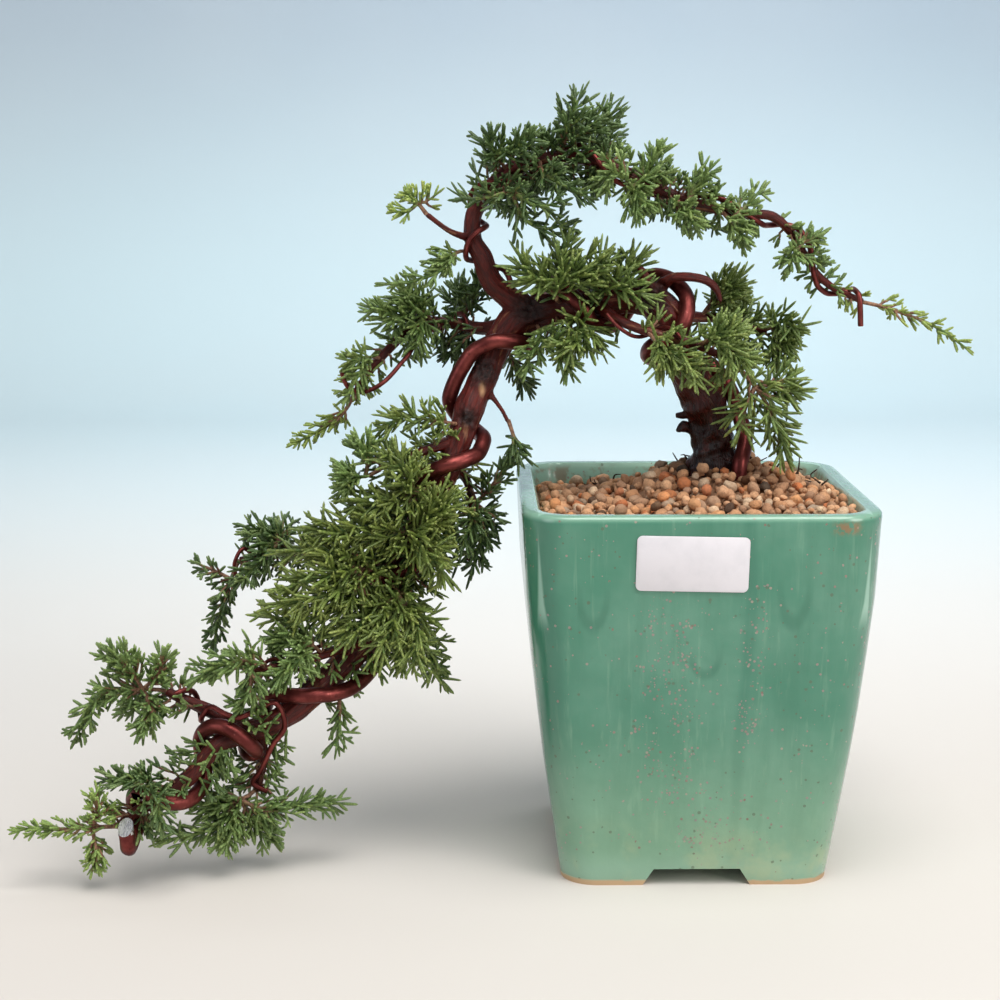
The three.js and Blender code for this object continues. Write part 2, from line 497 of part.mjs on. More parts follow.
// A needled twig. Returns its body; needles that find no room are shortened or left out.
function twig(line, radius, needle, node, next) {
  const phase = next() * 120;
  const rings = [];
  let u = null;
  for (let k = 0; k + 1 < line.length; k += 1) {
    const p = line[k];
    const t = unit(add(unit(sub(line[k + 1], p)), unit(sub(p, line[Math.max(0, k - 1)]))));
    if (!u) u = unit(cross(Math.abs(t[2]) < 0.9 ? [0, 0, 1] : [1, 0, 0], t));
    u = unit(add(u, t, -dot(u, t)));
    const v = cross(t, u);
    const r = radius * (1 - TWIG_TAPER * k / (line.length - 1));
    rings.push({ p, t, v: [0, 1, 2].map((j) => {
      const a = rad(phase + k * 60 + j * 120);
      return add(add(p, u, r * Math.cos(a)), v, r * Math.sin(a));
    }) });
  }
  const points = rings.flatMap((ring) => ring.v);
  const faces = [[0, 2, 1]];
  const needles = [];
  for (let k = 0; k + 1 < rings.length; k += 1) {
    const low = 3 * k;
    const high = low + 3;
    for (let j = 0; j < 3; j += 1) {
      const i = (j + 1) % 3;
      for (const face of [[low + j, low + i, high + j], [low + i, high + i, high + j]]) {
        const wanted = k > 0 && next() < NEEDLES_KEPT;
        const reach = needle * (0.8 + 0.4 * next());
        const lean = rad(NEEDLE_LEAN + 14 * (next() - 0.5));
        let done = false;
        if (wanted) {
          const [a, b, c] = face.map((n) => points[n]);
          const root = [0, 1, 2].map((n) => (a[n] + b[n] + c[n]) / 3);
          const middle = add(rings[k].p, sub(rings[k + 1].p, rings[k].p), 0.5);
          const t = rings[k].t;
          const flat = sub(root, middle);
          const out = unit(add(flat, t, -dot(flat, t)));
          const way = add([t[0] * Math.cos(lean), t[1] * Math.cos(lean), t[2] * Math.cos(lean)],
            out, Math.sin(lean));
          for (const part of [1, 0.75, 0.5]) {
            const tip = add(root, way, reach * part);
            if (done || !roomFor(root, tip, NEEDLE_ROOT, 0.05, node, line, CLEAR)) continue;
            points.push(tip);
            const top = points.length - 1;
            faces.push([face[0], face[1], top], [face[1], face[2], top], [face[2], face[0], top]);
            needles.push([root, tip]);
            done = true;
          }
        }
        if (!done) faces.push(face);
      }
    }
  }
  const last = 3 * (rings.length - 1);
  points.push(line[line.length - 1]);
  for (let j = 0; j < 3; j += 1) faces.push([last + j, last + (j + 1) % 3, points.length - 1]);
  needles.forEach(([a, b]) => taken.push({ a, b, ra: NEEDLE_ROOT, rb: 0.05, node, path: line }));
  return solid(points, faces);
}

// Wood
const woodBars = Object.values(WOOD);
woodBars.forEach(([, points]) => {
  const line = smooth(points, 6);
  take(line, (i) => line[i][3], 'trunk');
});
const wood = Manifold.union(woodBars.map(([sides, points]) => bar(points, sides)));
const woodGrown = Manifold.union(woodBars.map(([sides, points]) => bar(points, sides, GAP)));

// A wire wound on its host, with its loose ends
function wirePath({ host, radius, step, lead, turns, tail }) {
  const line = WOOD[host][1];
  const wound = [];
  const at = (place) => {
    const i = Math.min(line.length - 2, Math.floor(place));
    const f = place - i;
    const [p0, p1, p2, p3] = [-1, 0, 1, 2].map((k) => line[Math.min(line.length - 1, Math.max(0, i + k))]);
    return blend(p0, p1, p2, p3, f);
  };
  for (let i = 0; i + 1 < turns.length; i += 1) {
    const [pa, aa] = turns[i];
    const [pb, ab] = turns[i + 1];
    const n = Math.max(1, Math.round(Math.abs(ab - aa) / step), Math.round(Math.abs(pb - pa) / 0.8));
    for (let j = 0; j < n; j += 1) wound.push([pa + (pb - pa) * j / n, aa + (ab - aa) * j / n]);
  }
  wound.push(turns[turns.length - 1]);
  const coil = wound.map(([place, angle]) => {
    const here = at(place);
    const t = unit(sub(at(Math.min(line.length - 1, place + 0.15)), at(Math.max(0, place - 0.15))));
    const front = unit(add([0, -1, 0], t, t[1]));
    const side = cross(t, front);
    const r = (here[3] + radius + GAP) * 1.04;
    return add(add(here.slice(0, 3), front, r * Math.cos(rad(angle))), side, r * Math.sin(rad(angle)));
  });
  return [...lead, ...coil, ...tail];
}

const wires = Object.entries(WIRES).map(([name, wire]) => {
  const path = thin(bendClear(smooth(wirePath(wire), 2), wire.radius + 0.18, name, false), wire.slack);
  take(path, () => wire.radius, name);
  return [name, bar(path.map((p) => [...p, wire.radius]), wire.sides)];
});

// How far along a stem its needles start, just outside the wood
function leavesWood(path) {
  const dist = lengths(path);
  const inWood = (p) => taken.some((k) => k.node === 'trunk' && fromBar(p, k).d < 1.2);
  let i = 0;
  while (i < path.length - 1 && inWood(path[i])) i += 1;
  return dist[i] + 0.6;
}

// The point of a line that lies closest to a goal
function nearest(line, goal) {
  let best = null;
  for (let i = 0; i + 1 < line.length; i += 1) {
    const found = fromBar(goal, { a: line[i], b: line[i + 1], ra: 0, rb: 0 });
    if (!best || found.d < best.d) best = { d: found.d, p: add(goal, found.away, -found.d) };
  }
  return best.p;
}

// Sprays: stems first, so that needles can keep off every stem
const stems = [];
Object.entries(SPRAYS).forEach(([name, [tone, ...parts]], number) => {
  const node = `foliage_${name}`;
  const next = seeded(1000 + 77 * number);
  let base = null;
  parts.forEach(([shoots, reach, points], i) => {
    const from = i === 0 ? points : [base, ...points];
    const path = bendClear(smooth(from, 2.5), TWIG_RADIUS, node, i === 0);
    const line = stations(path, i === 0 ? leavesWood(path) : 3, TWIG_BAND);
    if (i === 0) base = nearest(line, points[1]);
    take(line, () => TWIG_RADIUS, node);
    stems.push({ node, tone, shoots, reach, line, radius: TWIG_RADIUS, next });
  });
});

// Side shoots leave the stems here and there, all around
const twigs = stems.slice();
stems.forEach((stem) => {
  const dist = lengths(stem.line);
  const whole = dist[dist.length - 1];
  const count = Math.round(stem.shoots * SHOOTS_KEPT);
  for (let j = 0; j < count; j += 1) {
    const { p, t } = along(stem.line, dist, whole * (0.42 + 0.45 * (j + 0.5) / count));
    const u = unit(cross(Math.abs(t[2]) < 0.9 ? [0, 0, 1] : [1, 0, 0], t));
    const v = cross(t, u);
    const turn = stem.next() * 360;
    for (let go = 0; go < 9; go += 1) {
      const a = rad(turn + go * 40);
      const side = add([u[0] * Math.cos(a), u[1] * Math.cos(a), u[2] * Math.cos(a)], v, Math.sin(a));
      const way = unit(add(side, t, 0.9));
      const middle = add(p, way, stem.reach * 0.5);
      const end = add(add(p, way, stem.reach), t, stem.reach * 0.12);
      const off = add(p, way, 2.2);
      if (!roomFor(off, middle, 0.7, 0.7, stem.node, stem.line, CLEAR + 0.6)) continue;
      if (!roomFor(middle, end, 0.7, 0.7, stem.node, stem.line, CLEAR + 0.6)) continue;
      const line = stations([p, middle, end], 2.4, SHOOT_BAND);
      take(line, () => SHOOT_RADIUS, stem.node);
      twigs.push({ ...stem, line, radius: SHOOT_RADIUS });
      break;
    }
  }
});

const bodies = {};
twigs.forEach(({ node, tone, line, radius, next }) => {
  (bodies[node] ??= []).push(twig(line, radius, TONES[tone].needle, node, next));
});

// Pot: rounded squares stacked up, hollowed, with a drain hole and four corner feet
function roundedSquare(half, corner, z) {
  const out = [];
  for (let q = 0; q < 4; q += 1) {
    for (let j = 0; j <= POT_CORNER_STEPS; j += 1) {
      const a = rad(q * 90 + j * 90 / POT_CORNER_STEPS);
      const cx = (half - corner) * (q === 0 || q === 3 ? 1 : -1);
      const cy = (half - corner) * (q < 2 ? 1 : -1);
      out.push([cx + corner * Math.cos(a), cy + corner * Math.sin(a), z]);
    }
  }
  return out;
}

const between = (rows, z) => {
  const i = Math.max(1, rows.findIndex(([h]) => h >= z));
  const [z0, w0] = rows[i - 1];
  const [z1, w1] = rows[i];
  return w0 + (w1 - w0) * (z - z0) / (z1 - z0);
};

const potBody = loft(POT_OUTER.map(([z, w]) => roundedSquare(w, CORNER_OUTER * w / RIM_HALF, z)));
const potHollow = loft(POT_INNER.map(([z, w]) => roundedSquare(w, CORNER_INNER * w / CORNER_AT, z)));
const drain = plug(DRAIN_RADIUS, DRAIN_SIDES, 0, 0, -1, FLOOR_TOP + 2);
const under = POT_OUTER[0][1] - FOOT_WIDTH;
const recess = loft([-1, FOOT_HEIGHT].map((z) => roundedSquare(under, RECESS_CORNER, z)));
const spread = (NOTCH_BOTTOM - NOTCH_TOP) / 2 / FOOT_HEIGHT;
const notchAt = (z, w, l) => [[-w, -l, z], [w, -l, z], [w, l, z], [-w, l, z]];
const notchAcross = (z, w, l) => [[l, -w, z], [l, w, z], [-l, w, z], [-l, -w, z]];
const notches = [notchAt, notchAcross].map((outline) => loft([
  outline(-1, NOTCH_BOTTOM / 2 + spread, POT_OUTER[6][1]),
  outline(FOOT_HEIGHT, NOTCH_TOP / 2, POT_OUTER[6][1]),
]));
const pot = potBody.subtract(Manifold.union([potHollow, drain, recess, ...notches]));

// Label: a thin blank plate lying on the front face
const labelOutline = [];
[[1, 1], [-1, 1], [-1, -1], [1, -1]].forEach(([sx, sz], q) => {
  const hw = (LABEL.right - LABEL.left) / 2 - LABEL.corner;
  const hz = (LABEL.high - LABEL.low) / 2 - LABEL.corner;
  for (let j = 0; j < 3; j += 1) {
    const a = rad(q * 90 + j * 45);
    labelOutline.push([sx * hw + LABEL.corner * Math.cos(a), sz * hz + LABEL.corner * Math.sin(a)]);
  }
});
const labelAt = (depth) => labelOutline.map(([x, z]) => {
  const c = Math.cos(rad(LABEL.tilt));
  const s = Math.sin(rad(LABEL.tilt));
  const px = (LABEL.left + LABEL.right) / 2 + x * c + z * s;
  const pz = (LABEL.low + LABEL.high) / 2 - x * s + z * c;
  return [px, -between(POT_OUTER, pz) - depth, pz];
});
const label = loft([labelAt(GAP), labelAt(GAP + LABEL.thick)]);

// Drain screen: a square plate with a grid of openings
const holeWidth = (SCREEN.size - SCREEN.bar * SCREEN.bars) / (SCREEN.bars - 1);
const openings = [];
for (let i = 0; i + 1 < SCREEN.bars; i += 1) {
  for (let j = 0; j + 1 < SCREEN.bars; j += 1) {
    const at = (k) => -SCREEN.size / 2 + SCREEN.bar + holeWidth / 2 + k * (SCREEN.bar + holeWidth);
    openings.push(box(holeWidth, holeWidth, SCREEN.thick * 6, at(i), at(j), FLOOR_TOP));
  }
}
const screenZ = FLOOR_TOP + GAP + SCREEN.thick / 2;
const plate = box(SCREEN.size, SCREEN.size, SCREEN.thick, 0, 0, screenZ);
const screen = plate.subtract(Manifold.union(openings));

// Soil: a fill whose top is a field of seeded grains, with plain holes for the trunk and the wire
function soilBody() {
  const n = SOIL_CELLS;
  const next = seeded(4242);
  const points = [];
  const faces = [];
  const spot = (u, v, half) => {
    const c = CORNER_INNER * half / CORNER_AT;
    let x = u * half;
    let y = v * half;
    const a = Math.abs(x) - (half - c);
    const b = Math.abs(y) - (half - c);
    if (a > 0 && b > 0) {
      const k = Math.max(a, b) / Math.hypot(a, b);
      x = Math.sign(x) * (half - c + a * k);
      y = Math.sign(y) * (half - c + b * k);
    }
    return [x, y];
  };
  const id = (i, j) => i * (n + 1) + j;
  for (let i = 0; i <= n; i += 1) {
    for (let j = 0; j <= n; j += 1) {
      const u = 2 * i / n - 1;
      const v = 2 * j / n - 1;
      const edge = i === 0 || j === 0 || i === n || j === n;
      const wobble = edge ? 0 : GRAIN_WOBBLE;
      let [x, y] = spot(u, v, SOIL_HALF);
      const z = soilTop(x, y) - GRAIN_SINK + (edge ? 0 : GRAIN_UNEVEN * (next() - 0.5));
      if (edge) [x, y] = spot(u, v, between(POT_INNER, z) - GAP);
      points.push([x + wobble * (next() - 0.5), y + wobble * (next() - 0.5), z]);
    }
  }
  for (let i = 0; i < n; i += 1) {
    for (let j = 0; j < n; j += 1) {
      const ring = [id(i, j), id(i + 1, j), id(i + 1, j + 1), id(i, j + 1)];
      const mid = [0, 1, 2].map((k) => ring.reduce((sum, p) => sum + points[p][k], 0) / 4);
      const raise = GRAIN_HEIGHT * (0.6 + 0.8 * next());
      points.push([mid[0] + next() - 0.5, mid[1] + next() - 0.5, mid[2] + raise]);
      const top = points.length - 1;
      ring.forEach((p, k) => faces.push([p, ring[(k + 1) % 4], top]));
    }
  }
  const rim = [];
  for (let j = 0; j < n; j += 1) rim.push([0, j]);
  for (let i = 0; i < n; i += 1) rim.push([i, n]);
  for (let j = n; j > 0; j -= 1) rim.push([n, j]);
  for (let i = n; i > 0; i -= 1) rim.push([i, 0]);
  const low = points.length;
  rim.forEach(([i, j]) => {
    const z = FLOOR_TOP + GAP;
    const [x, y] = spot(2 * i / n - 1, 2 * j / n - 1, between(POT_INNER, z) - GAP);
    points.push([x, y, z]);
  });
  points.push([0, 0, FLOOR_TOP + GAP]);
  const middle = points.length - 1;
  rim.forEach(([i, j], k) => {
    const [i2, j2] = rim[(k + 1) % rim.length];
    const a = id(i, j);
    const b = id(i2, j2);
    const c = low + k;
    const d = low + (k + 1) % rim.length;
    faces.push([a, b, d], [a, d, c], [c, d, middle]);
  });
  return solid(points, faces);
}
const [trunkHole, wireHole] = [TRUNK_HOLE, WIRE_HOLE].map(({ x, y, bottom, radius, sides }) => (
  plug(radius, sides, x, y, bottom, HOLE_TALL)));
const pocketWidth = SCREEN.size + 2 * GAP;
const pocketTop = FLOOR_TOP + SCREEN.thick + 3 * GAP;
const pocket = box(pocketWidth, pocketWidth, 2 * (pocketTop - FLOOR_TOP), 0, 0, FLOOR_TOP);
const soil = soilBody().subtract(Manifold.union([trunkHole, wireHole, pocket]));

// The finished group
const group = new THREE.Group();
function piece(name, body, color, roughness, metalness = 0) {
  const material = new THREE.MeshStandardMaterial({ color, roughness, metalness, flatShading: true });
  const mesh = new THREE.Mesh(geometry(body), material);
  mesh.name = name;
  group.add(mesh);
}

piece('pot', pot, 0x4f9580, 0.3);
piece('label', label, 0xf4f5f4, 0.6);
piece('drain_screen', screen, 0x20242a, 0.7);
piece('soil', soil, 0xb98a63, 0.95);
piece('trunk', wood, 0x5a2f28, 0.8);
wires.forEach(([name, body]) => piece(name, body, 0x6e3a33, 0.35, 0.5));
Object.entries(SPRAYS).forEach(([name, [tone]]) => {
  const node = `foliage_${name}`;
  const body = Manifold.union(bodies[node]).subtract(woodGrown);
  piece(node, body, TONES[tone].color, 0.7);
});

group.updateMatrixWorld(true);
const bounds = new THREE.Box3().setFromObject(group);
const middle = bounds.getCenter(new THREE.Vector3());
group.children.forEach((mesh) => {
  mesh.geometry.translate(-middle.x, -middle.y, -bounds.min.z);
});

export default group;
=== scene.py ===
import math

import bpy
import numpy as np
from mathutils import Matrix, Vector, noise


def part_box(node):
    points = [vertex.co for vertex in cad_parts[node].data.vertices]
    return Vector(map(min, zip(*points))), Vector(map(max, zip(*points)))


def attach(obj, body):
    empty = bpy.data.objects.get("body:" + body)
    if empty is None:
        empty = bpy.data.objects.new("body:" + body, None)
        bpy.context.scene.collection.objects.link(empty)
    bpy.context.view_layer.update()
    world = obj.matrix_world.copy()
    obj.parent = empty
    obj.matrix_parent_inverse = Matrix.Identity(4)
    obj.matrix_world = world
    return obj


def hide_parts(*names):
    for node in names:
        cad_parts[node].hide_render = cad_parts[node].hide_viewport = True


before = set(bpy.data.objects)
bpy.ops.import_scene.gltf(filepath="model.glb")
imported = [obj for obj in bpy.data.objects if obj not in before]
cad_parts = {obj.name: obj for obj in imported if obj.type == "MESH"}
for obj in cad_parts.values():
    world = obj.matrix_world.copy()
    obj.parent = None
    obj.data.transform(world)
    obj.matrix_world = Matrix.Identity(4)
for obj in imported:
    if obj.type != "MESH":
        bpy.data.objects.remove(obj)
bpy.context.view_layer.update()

# A wired semi-cascade juniper in a tall square glazed pot.
# Lengths are millimetres from the middle of the pot's underside, unless a name says otherwise.
MM = 0.001
pot_low, pot_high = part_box("pot")
PLACE = Vector(((pot_low[0] + pot_high[0]) / 2, (pot_low[1] + pot_high[1]) / 2, 0))
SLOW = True

# Pot: height and half width of its sides, outside from the foot up, inside from the lip down
POT_OUTER = [(0, 46), (6, 46.9), (25, 49.7), (45, 52.6), (62, 54.7), (80, 56.6), (101, 58.6), (118, 59.4),
             (126, 59.8), (128.6, 60), (129.9, 59.9), (130.5, 59.6), (130.9, 59.1)]
# The lip between them, as steps inward and up
POT_LIP = [(1.2, 0.25), (2.2, 0.0), (1.0, -0.2)]
POT_INNER = [(130.2, 54.3), (129, 53.7), (126, 53.1), (100, 50.3), (60, 46), (13, 41)]
CORNER_OUTER = 16
# The four feet: height and width of the foot ring, half width of its notches below and above
FOOT = {"height": 6, "width": 9, "notch_low": 37, "notch_high": 29.5}
DRAIN_RADIUS = 11
# What is left between two pieces that stand against each other
GAP = 0.3
# Label: its sides on the pot's front, and its tilt in degrees
LABEL = {"left": -23, "right": 14, "low": 106, "high": 124.5, "corner": 1.8, "thick": 0.4, "tilt": 1.2}

# Soil: its level and mound, how far it reaches, and the middle and radius of what stands in it
SOIL_LEVEL, SOIL_HALF, SOIL_CORNER = 126.4, 53.3, 10.5
MOUND = {"rise": 14.5, "x": 11, "y": 2, "spread": 22}
TRUNK_FOOT = {"x": 9, "y": 0, "radius": 9.4}
WIRE_FOOT = {"x": 16.6, "y": -11.2, "radius": 2.6}
# Granules in layers: reach, radii, how close they lie, how often one is tried, lift over the soil's top
GRANULE_LAYERS = [(SOIL_HALF, [1.7, 2.0, 2.3], 0.86, 8000, -1.5),
                  (SOIL_HALF, [1.5, 1.9, 2.2, 2.5, 2.8, 3.1], 0.9, 9000, 0.75),
                  (52, [1.2, 2.0, 2.4, 2.7], 2.1, 200, 2.7)]
# The solid fill under them: where its top begins, and how far it is let down
BED = {"top_over": 123.5, "let_down": 2.6}
# Tufts of dead root on the granules: x, y, how wide, how tall, how many bits
DEAD_ROOTS = [(42, 20, 16, 7, 7), (14, 26, 12, 9, 6), (-26, 30, 14, 4, 5), (19, 7, 8, 6, 5),
              (46, -4, 8, 4, 3), (-2, 8, 8, 4, 3)]
# Where leaves may not reach: near the table, past the rim, over the rim's top and over the soil
KEEP_OFF = {"table": 0.9, "rim_half": 60.2, "rim_width": 6.8, "rim_top": 131.2, "soil": 2.0}

# Wood: x, y, z and radius down the middle of each branch
WOOD = {
    "trunk": [(9, 0, 123, 9.6), (9, 0, 137, 9.6), (8.6, 0, 145, 8.3), (7.4, 0, 153, 7.4),
              (4.6, -1, 162, 7), (-1, -2, 172, 6.6), (-6, -3, 182, 6.5), (-8, -4, 190, 6.4),
              (-14, -3, 197, 6.3), (-23, 0, 198, 6.1), (-35, 3, 196, 6), (-49, 4, 193, 5.9),
              (-60, 4, 190, 5.7), (-67, 2, 182, 5.4), (-72, -2, 171, 5.1), (-77, -5, 161, 4.9),
              (-80, -8, 152, 4.8), (-84, -11, 142, 4.7), (-90, -12, 131, 4.7), (-96, -11, 119, 4.6),
              (-101, -9, 107, 4.6), (-106, -9, 92, 4.7), (-114, -12, 78, 4.8), (-125, -17, 68, 5),
              (-136, -23, 59, 4.6), (-146, -28, 53, 4.2), (-156, -33, 51, 3.7),
              (-165, -37, 47, 3.2), (-173, -40, 38, 2.9), (-183, -43, 31, 2.5),
              (-191, -45, 27, 2.1), (-197, -46, 22, 1.6)],
    "apex": [(-55, 4, 192, 4.8), (-64, 3, 198, 4.2), (-70, 1, 204, 3.9), (-73, 0, 212, 3.5),
             (-76, 0, 218, 3.1), (-76, 2, 226, 2.9), (-71, 4, 234, 2.7), (-64, 4, 241, 2.6),
             (-53, 2, 245, 2.5), (-39, -2, 246, 2.4), (-26, -5, 242, 2.3), (-12, -7, 235, 2.1),
             (2, -8, 230, 2), (17, -7, 227, 1.8), (27, -5, 226, 1.7), (35, -3, 219, 1.5),
             (42, 0, 208, 1.4), (50, 2, 201, 1.3), (61, 4, 196, 1.1)],
    "left_branch": [(-62, 6, 189, 3), (-73, 13, 186, 2.4), (-85, 16, 188, 2.2), (-97, 14, 187, 2),
                    (-105, 10, 180, 1.7), (-112, 7, 172, 1.4), (-118, 5, 164, 1.1)],
    "front_branch": [(-33, 0, 196, 2.4), (-28, -11, 192, 1.9), (-18, -18, 188, 1.7), (-6, -21, 185, 1.6),
                     (5, -21, 181, 1.4), (14, -19, 176, 1.2)],
    "back_branch": [(-8, 0, 191, 2.6), (5, 12, 190, 1.9), (18, 16, 188, 1.6), (29, 16, 184, 1.2)],
    "jin": [(-13, -2, 198, 2.6), (-8, -8, 205, 1.8), (2, -11, 205, 1.6), (7, -11, 202, 1.4),
            (9, -11, 197, 0.7)],
    "stub": [(-11, -4, 197, 3), (-15, -9, 202, 2.4), (-19, -11, 209, 1.2)],
    "light_twig": [(-76, 0, 218, 1.6), (-84, -5, 221, 1.1), (-92, -8, 227, 1)],
    "upper_left": [(-81, -8, 149, 2.2), (-91, -16, 147, 1.7), (-101, -21, 144, 1.3), (-109, -23, 141, 1)],
    "bare_twig": [(-71, -2, 165, 1.6), (-69, -5, 163, 1), (-66, -7, 159, 0.8), (-64, -8, 155, 0.8)],
    "right_low": [(-84, -8, 141, 2.2), (-78, 2, 132, 1.6), (-77, 5, 118, 1.4), (-78, 6, 103, 1.1)],
    "mid_left": [(-101, -7, 105, 2.4), (-115, 4, 104, 1.8), (-133, 8, 105, 1.5), (-149, 7, 105, 1.2),
                 (-160, 5, 104, 1)],
    "front_left": [(-114, -13, 79, 2.2), (-128, -27, 77, 1.7), (-141, -33, 75, 1.4), (-154, -36, 73, 1)],
    "low_right": [(-106, -8, 92, 2.2), (-100, 0, 82, 1.5), (-98, 2, 70, 1.1)],
    "pad_branch": [(-155, -32, 51, 2.8), (-165, -31, 57, 2.4), (-174, -30, 61, 2.1),
                   (-182, -30, 65, 1.6)],
    "bottom_branch": [(-150, -29, 52, 2.4), (-150, -26, 39, 1.8), (-152, -27, 28, 1.4)],
    "stub_low": [(4, -1, 158, 1.4), (0, -2, 157, 1.1), (-5, -3, 157, 0.8)],
    "stub_lower": [(3, -1, 150, 1.4), (-2, -3, 153, 1.1), (-5, -4, 151, 0.8)],
}

# Bark: size of the remeshed skin, and of its ridges, fine ridges, knots and knobs
BARK_SKIN = {"fine": 0.62, "coarse": 1.0}
RELIEF = {"ridge": 0.62, "fine": 0.2, "knot": 1.4, "knob": 1.5, "calm_at_dark_foot": 0.72}
# The dark foot of the trunk, darker and glossier towards the soil, and one pale flake where bark has peeled
DARK_FOOT = {"from_z": 180, "over": 26, "right_of": -30}
PEELED = {"middle": (-73, -9, 167), "size": (1.3, 4, 3.6)}

# Old cuts and knots on the trunk: middle, and how far the dark rough wood reaches
SCARS = [(-72.5, -7, 173, 7), (-56, -2, 194, 9), (-14, -8, 199, 8), (-78, -11, 157, 5),
         (-110, -13, 84, 5)]

# Wires: host branch, radius, loose end in, turns as (place along the host, angle), loose end out
WIRES = {
    "trunk_wire": ("trunk", 2.75, 28, [(16.6, -11.2, 128), (16.6, -11.2, 140), (18.2, -8.6, 144.5),
                                       (19.2, -4.5, 149.5)],
                   [(3.1, 80), (3.6, 95), (4.2, 108), (4.7, 124), (5.5, 210), (6.2, 300),
                    (6.7, 370), (7.5, 440), (8.3, 485), (9, 560), (9.6, 630), (10.2, 720),
                    (10.8, 800), (11.5, 900), (12.2, 970), (12.9, 1060), (13.2, 1092), (13.7, 1140),
                    (14.4, 1170), (15, 1195), (15.5, 1260), (16, 1340), (16.5, 1370), (17.1, 1440),
                    (18, 1525), (18.8, 1620), (19.5, 1710), (20.2, 1800), (21, 1890), (21.7, 1980),
                    (22.4, 2065), (22.9, 2095), (23.4, 2130), (24.1, 2190), (24.6, 2250),
                    (25.1, 2340), (25.6, 2430), (26.2, 2520), (26.9, 2625), (27.6, 2715),
                    (28.3, 2800), (29, 2880), (29.6, 2970), (30.1, 3060), (30.6, 3150)],
                   [(-193, -51, 16), (-193, -53, 20), (-194, -53, 27)]),
    "apex_wire": ("apex", 1, 30, [],
                  [(1.2, 30), (2, 100), (3, 230), (4, 350), (4.6, 450), (5.2, 540), (6, 660),
                   (7, 770), (8, 880), (9, 1000), (10, 1160), (11, 1230), (12, 1320), (13, 1440),
                   (13.6, 1510), (14.3, 1580), (15, 1690), (16, 1810), (17, 1920), (17.5, 2000)],
                  [(58, -3, 199), (59, -3, 188)]),
    "left_wire": ("left_branch", 0.8, 30, [], [(1.3, 0), (1.8, 120), (2.2, 240), (2.6, 350), (3, 440)],
                  [(-97, 6, 181), (-102, 2, 174), (-108, -1, 168), (-115, -2, 165), (-120, -2, 167),
                   (-122, -2, 172)]),
    "front_wire": ("front_branch", 0.7, 30, [], [(1, 0), (1.6, 60), (2.2, 180), (2.8, 300),
                                                 (3.3, 400), (4, 500)],
                   [(15, -25, 181), (17, -25, 178), (14, -25, 175), (9, -25, 174)]),
    "pad_wire": ("pad_branch", 1.0, 30, [], [(2.6, 20), (2, 130), (1.4, 260)],
                 [(-166, -36, 61), (-158, -40, 58), (-151, -38, 60), (-144, -38, 63), (-141, -35, 54),
                  (-146, -34, 46), (-150, -32, 37), (-153, -30, 32), (-148, -30, 29)]),
    "mid_wire": ("mid_left", 0.7, 30, [], [(1, 0), (1.5, 150), (2, 300), (2.5, 450), (3, 600),
                                           (3.4, 720)],
                 [(-158, 0, 109), (-161, -1, 104), (-161, 2, 99)]),
    "low_wire": ("front_left", 0.7, 30, [], [(0.9, 60), (1.3, 180), (1.8, 320), (2.2, 450),
                                             (2.6, 560)], []),
}

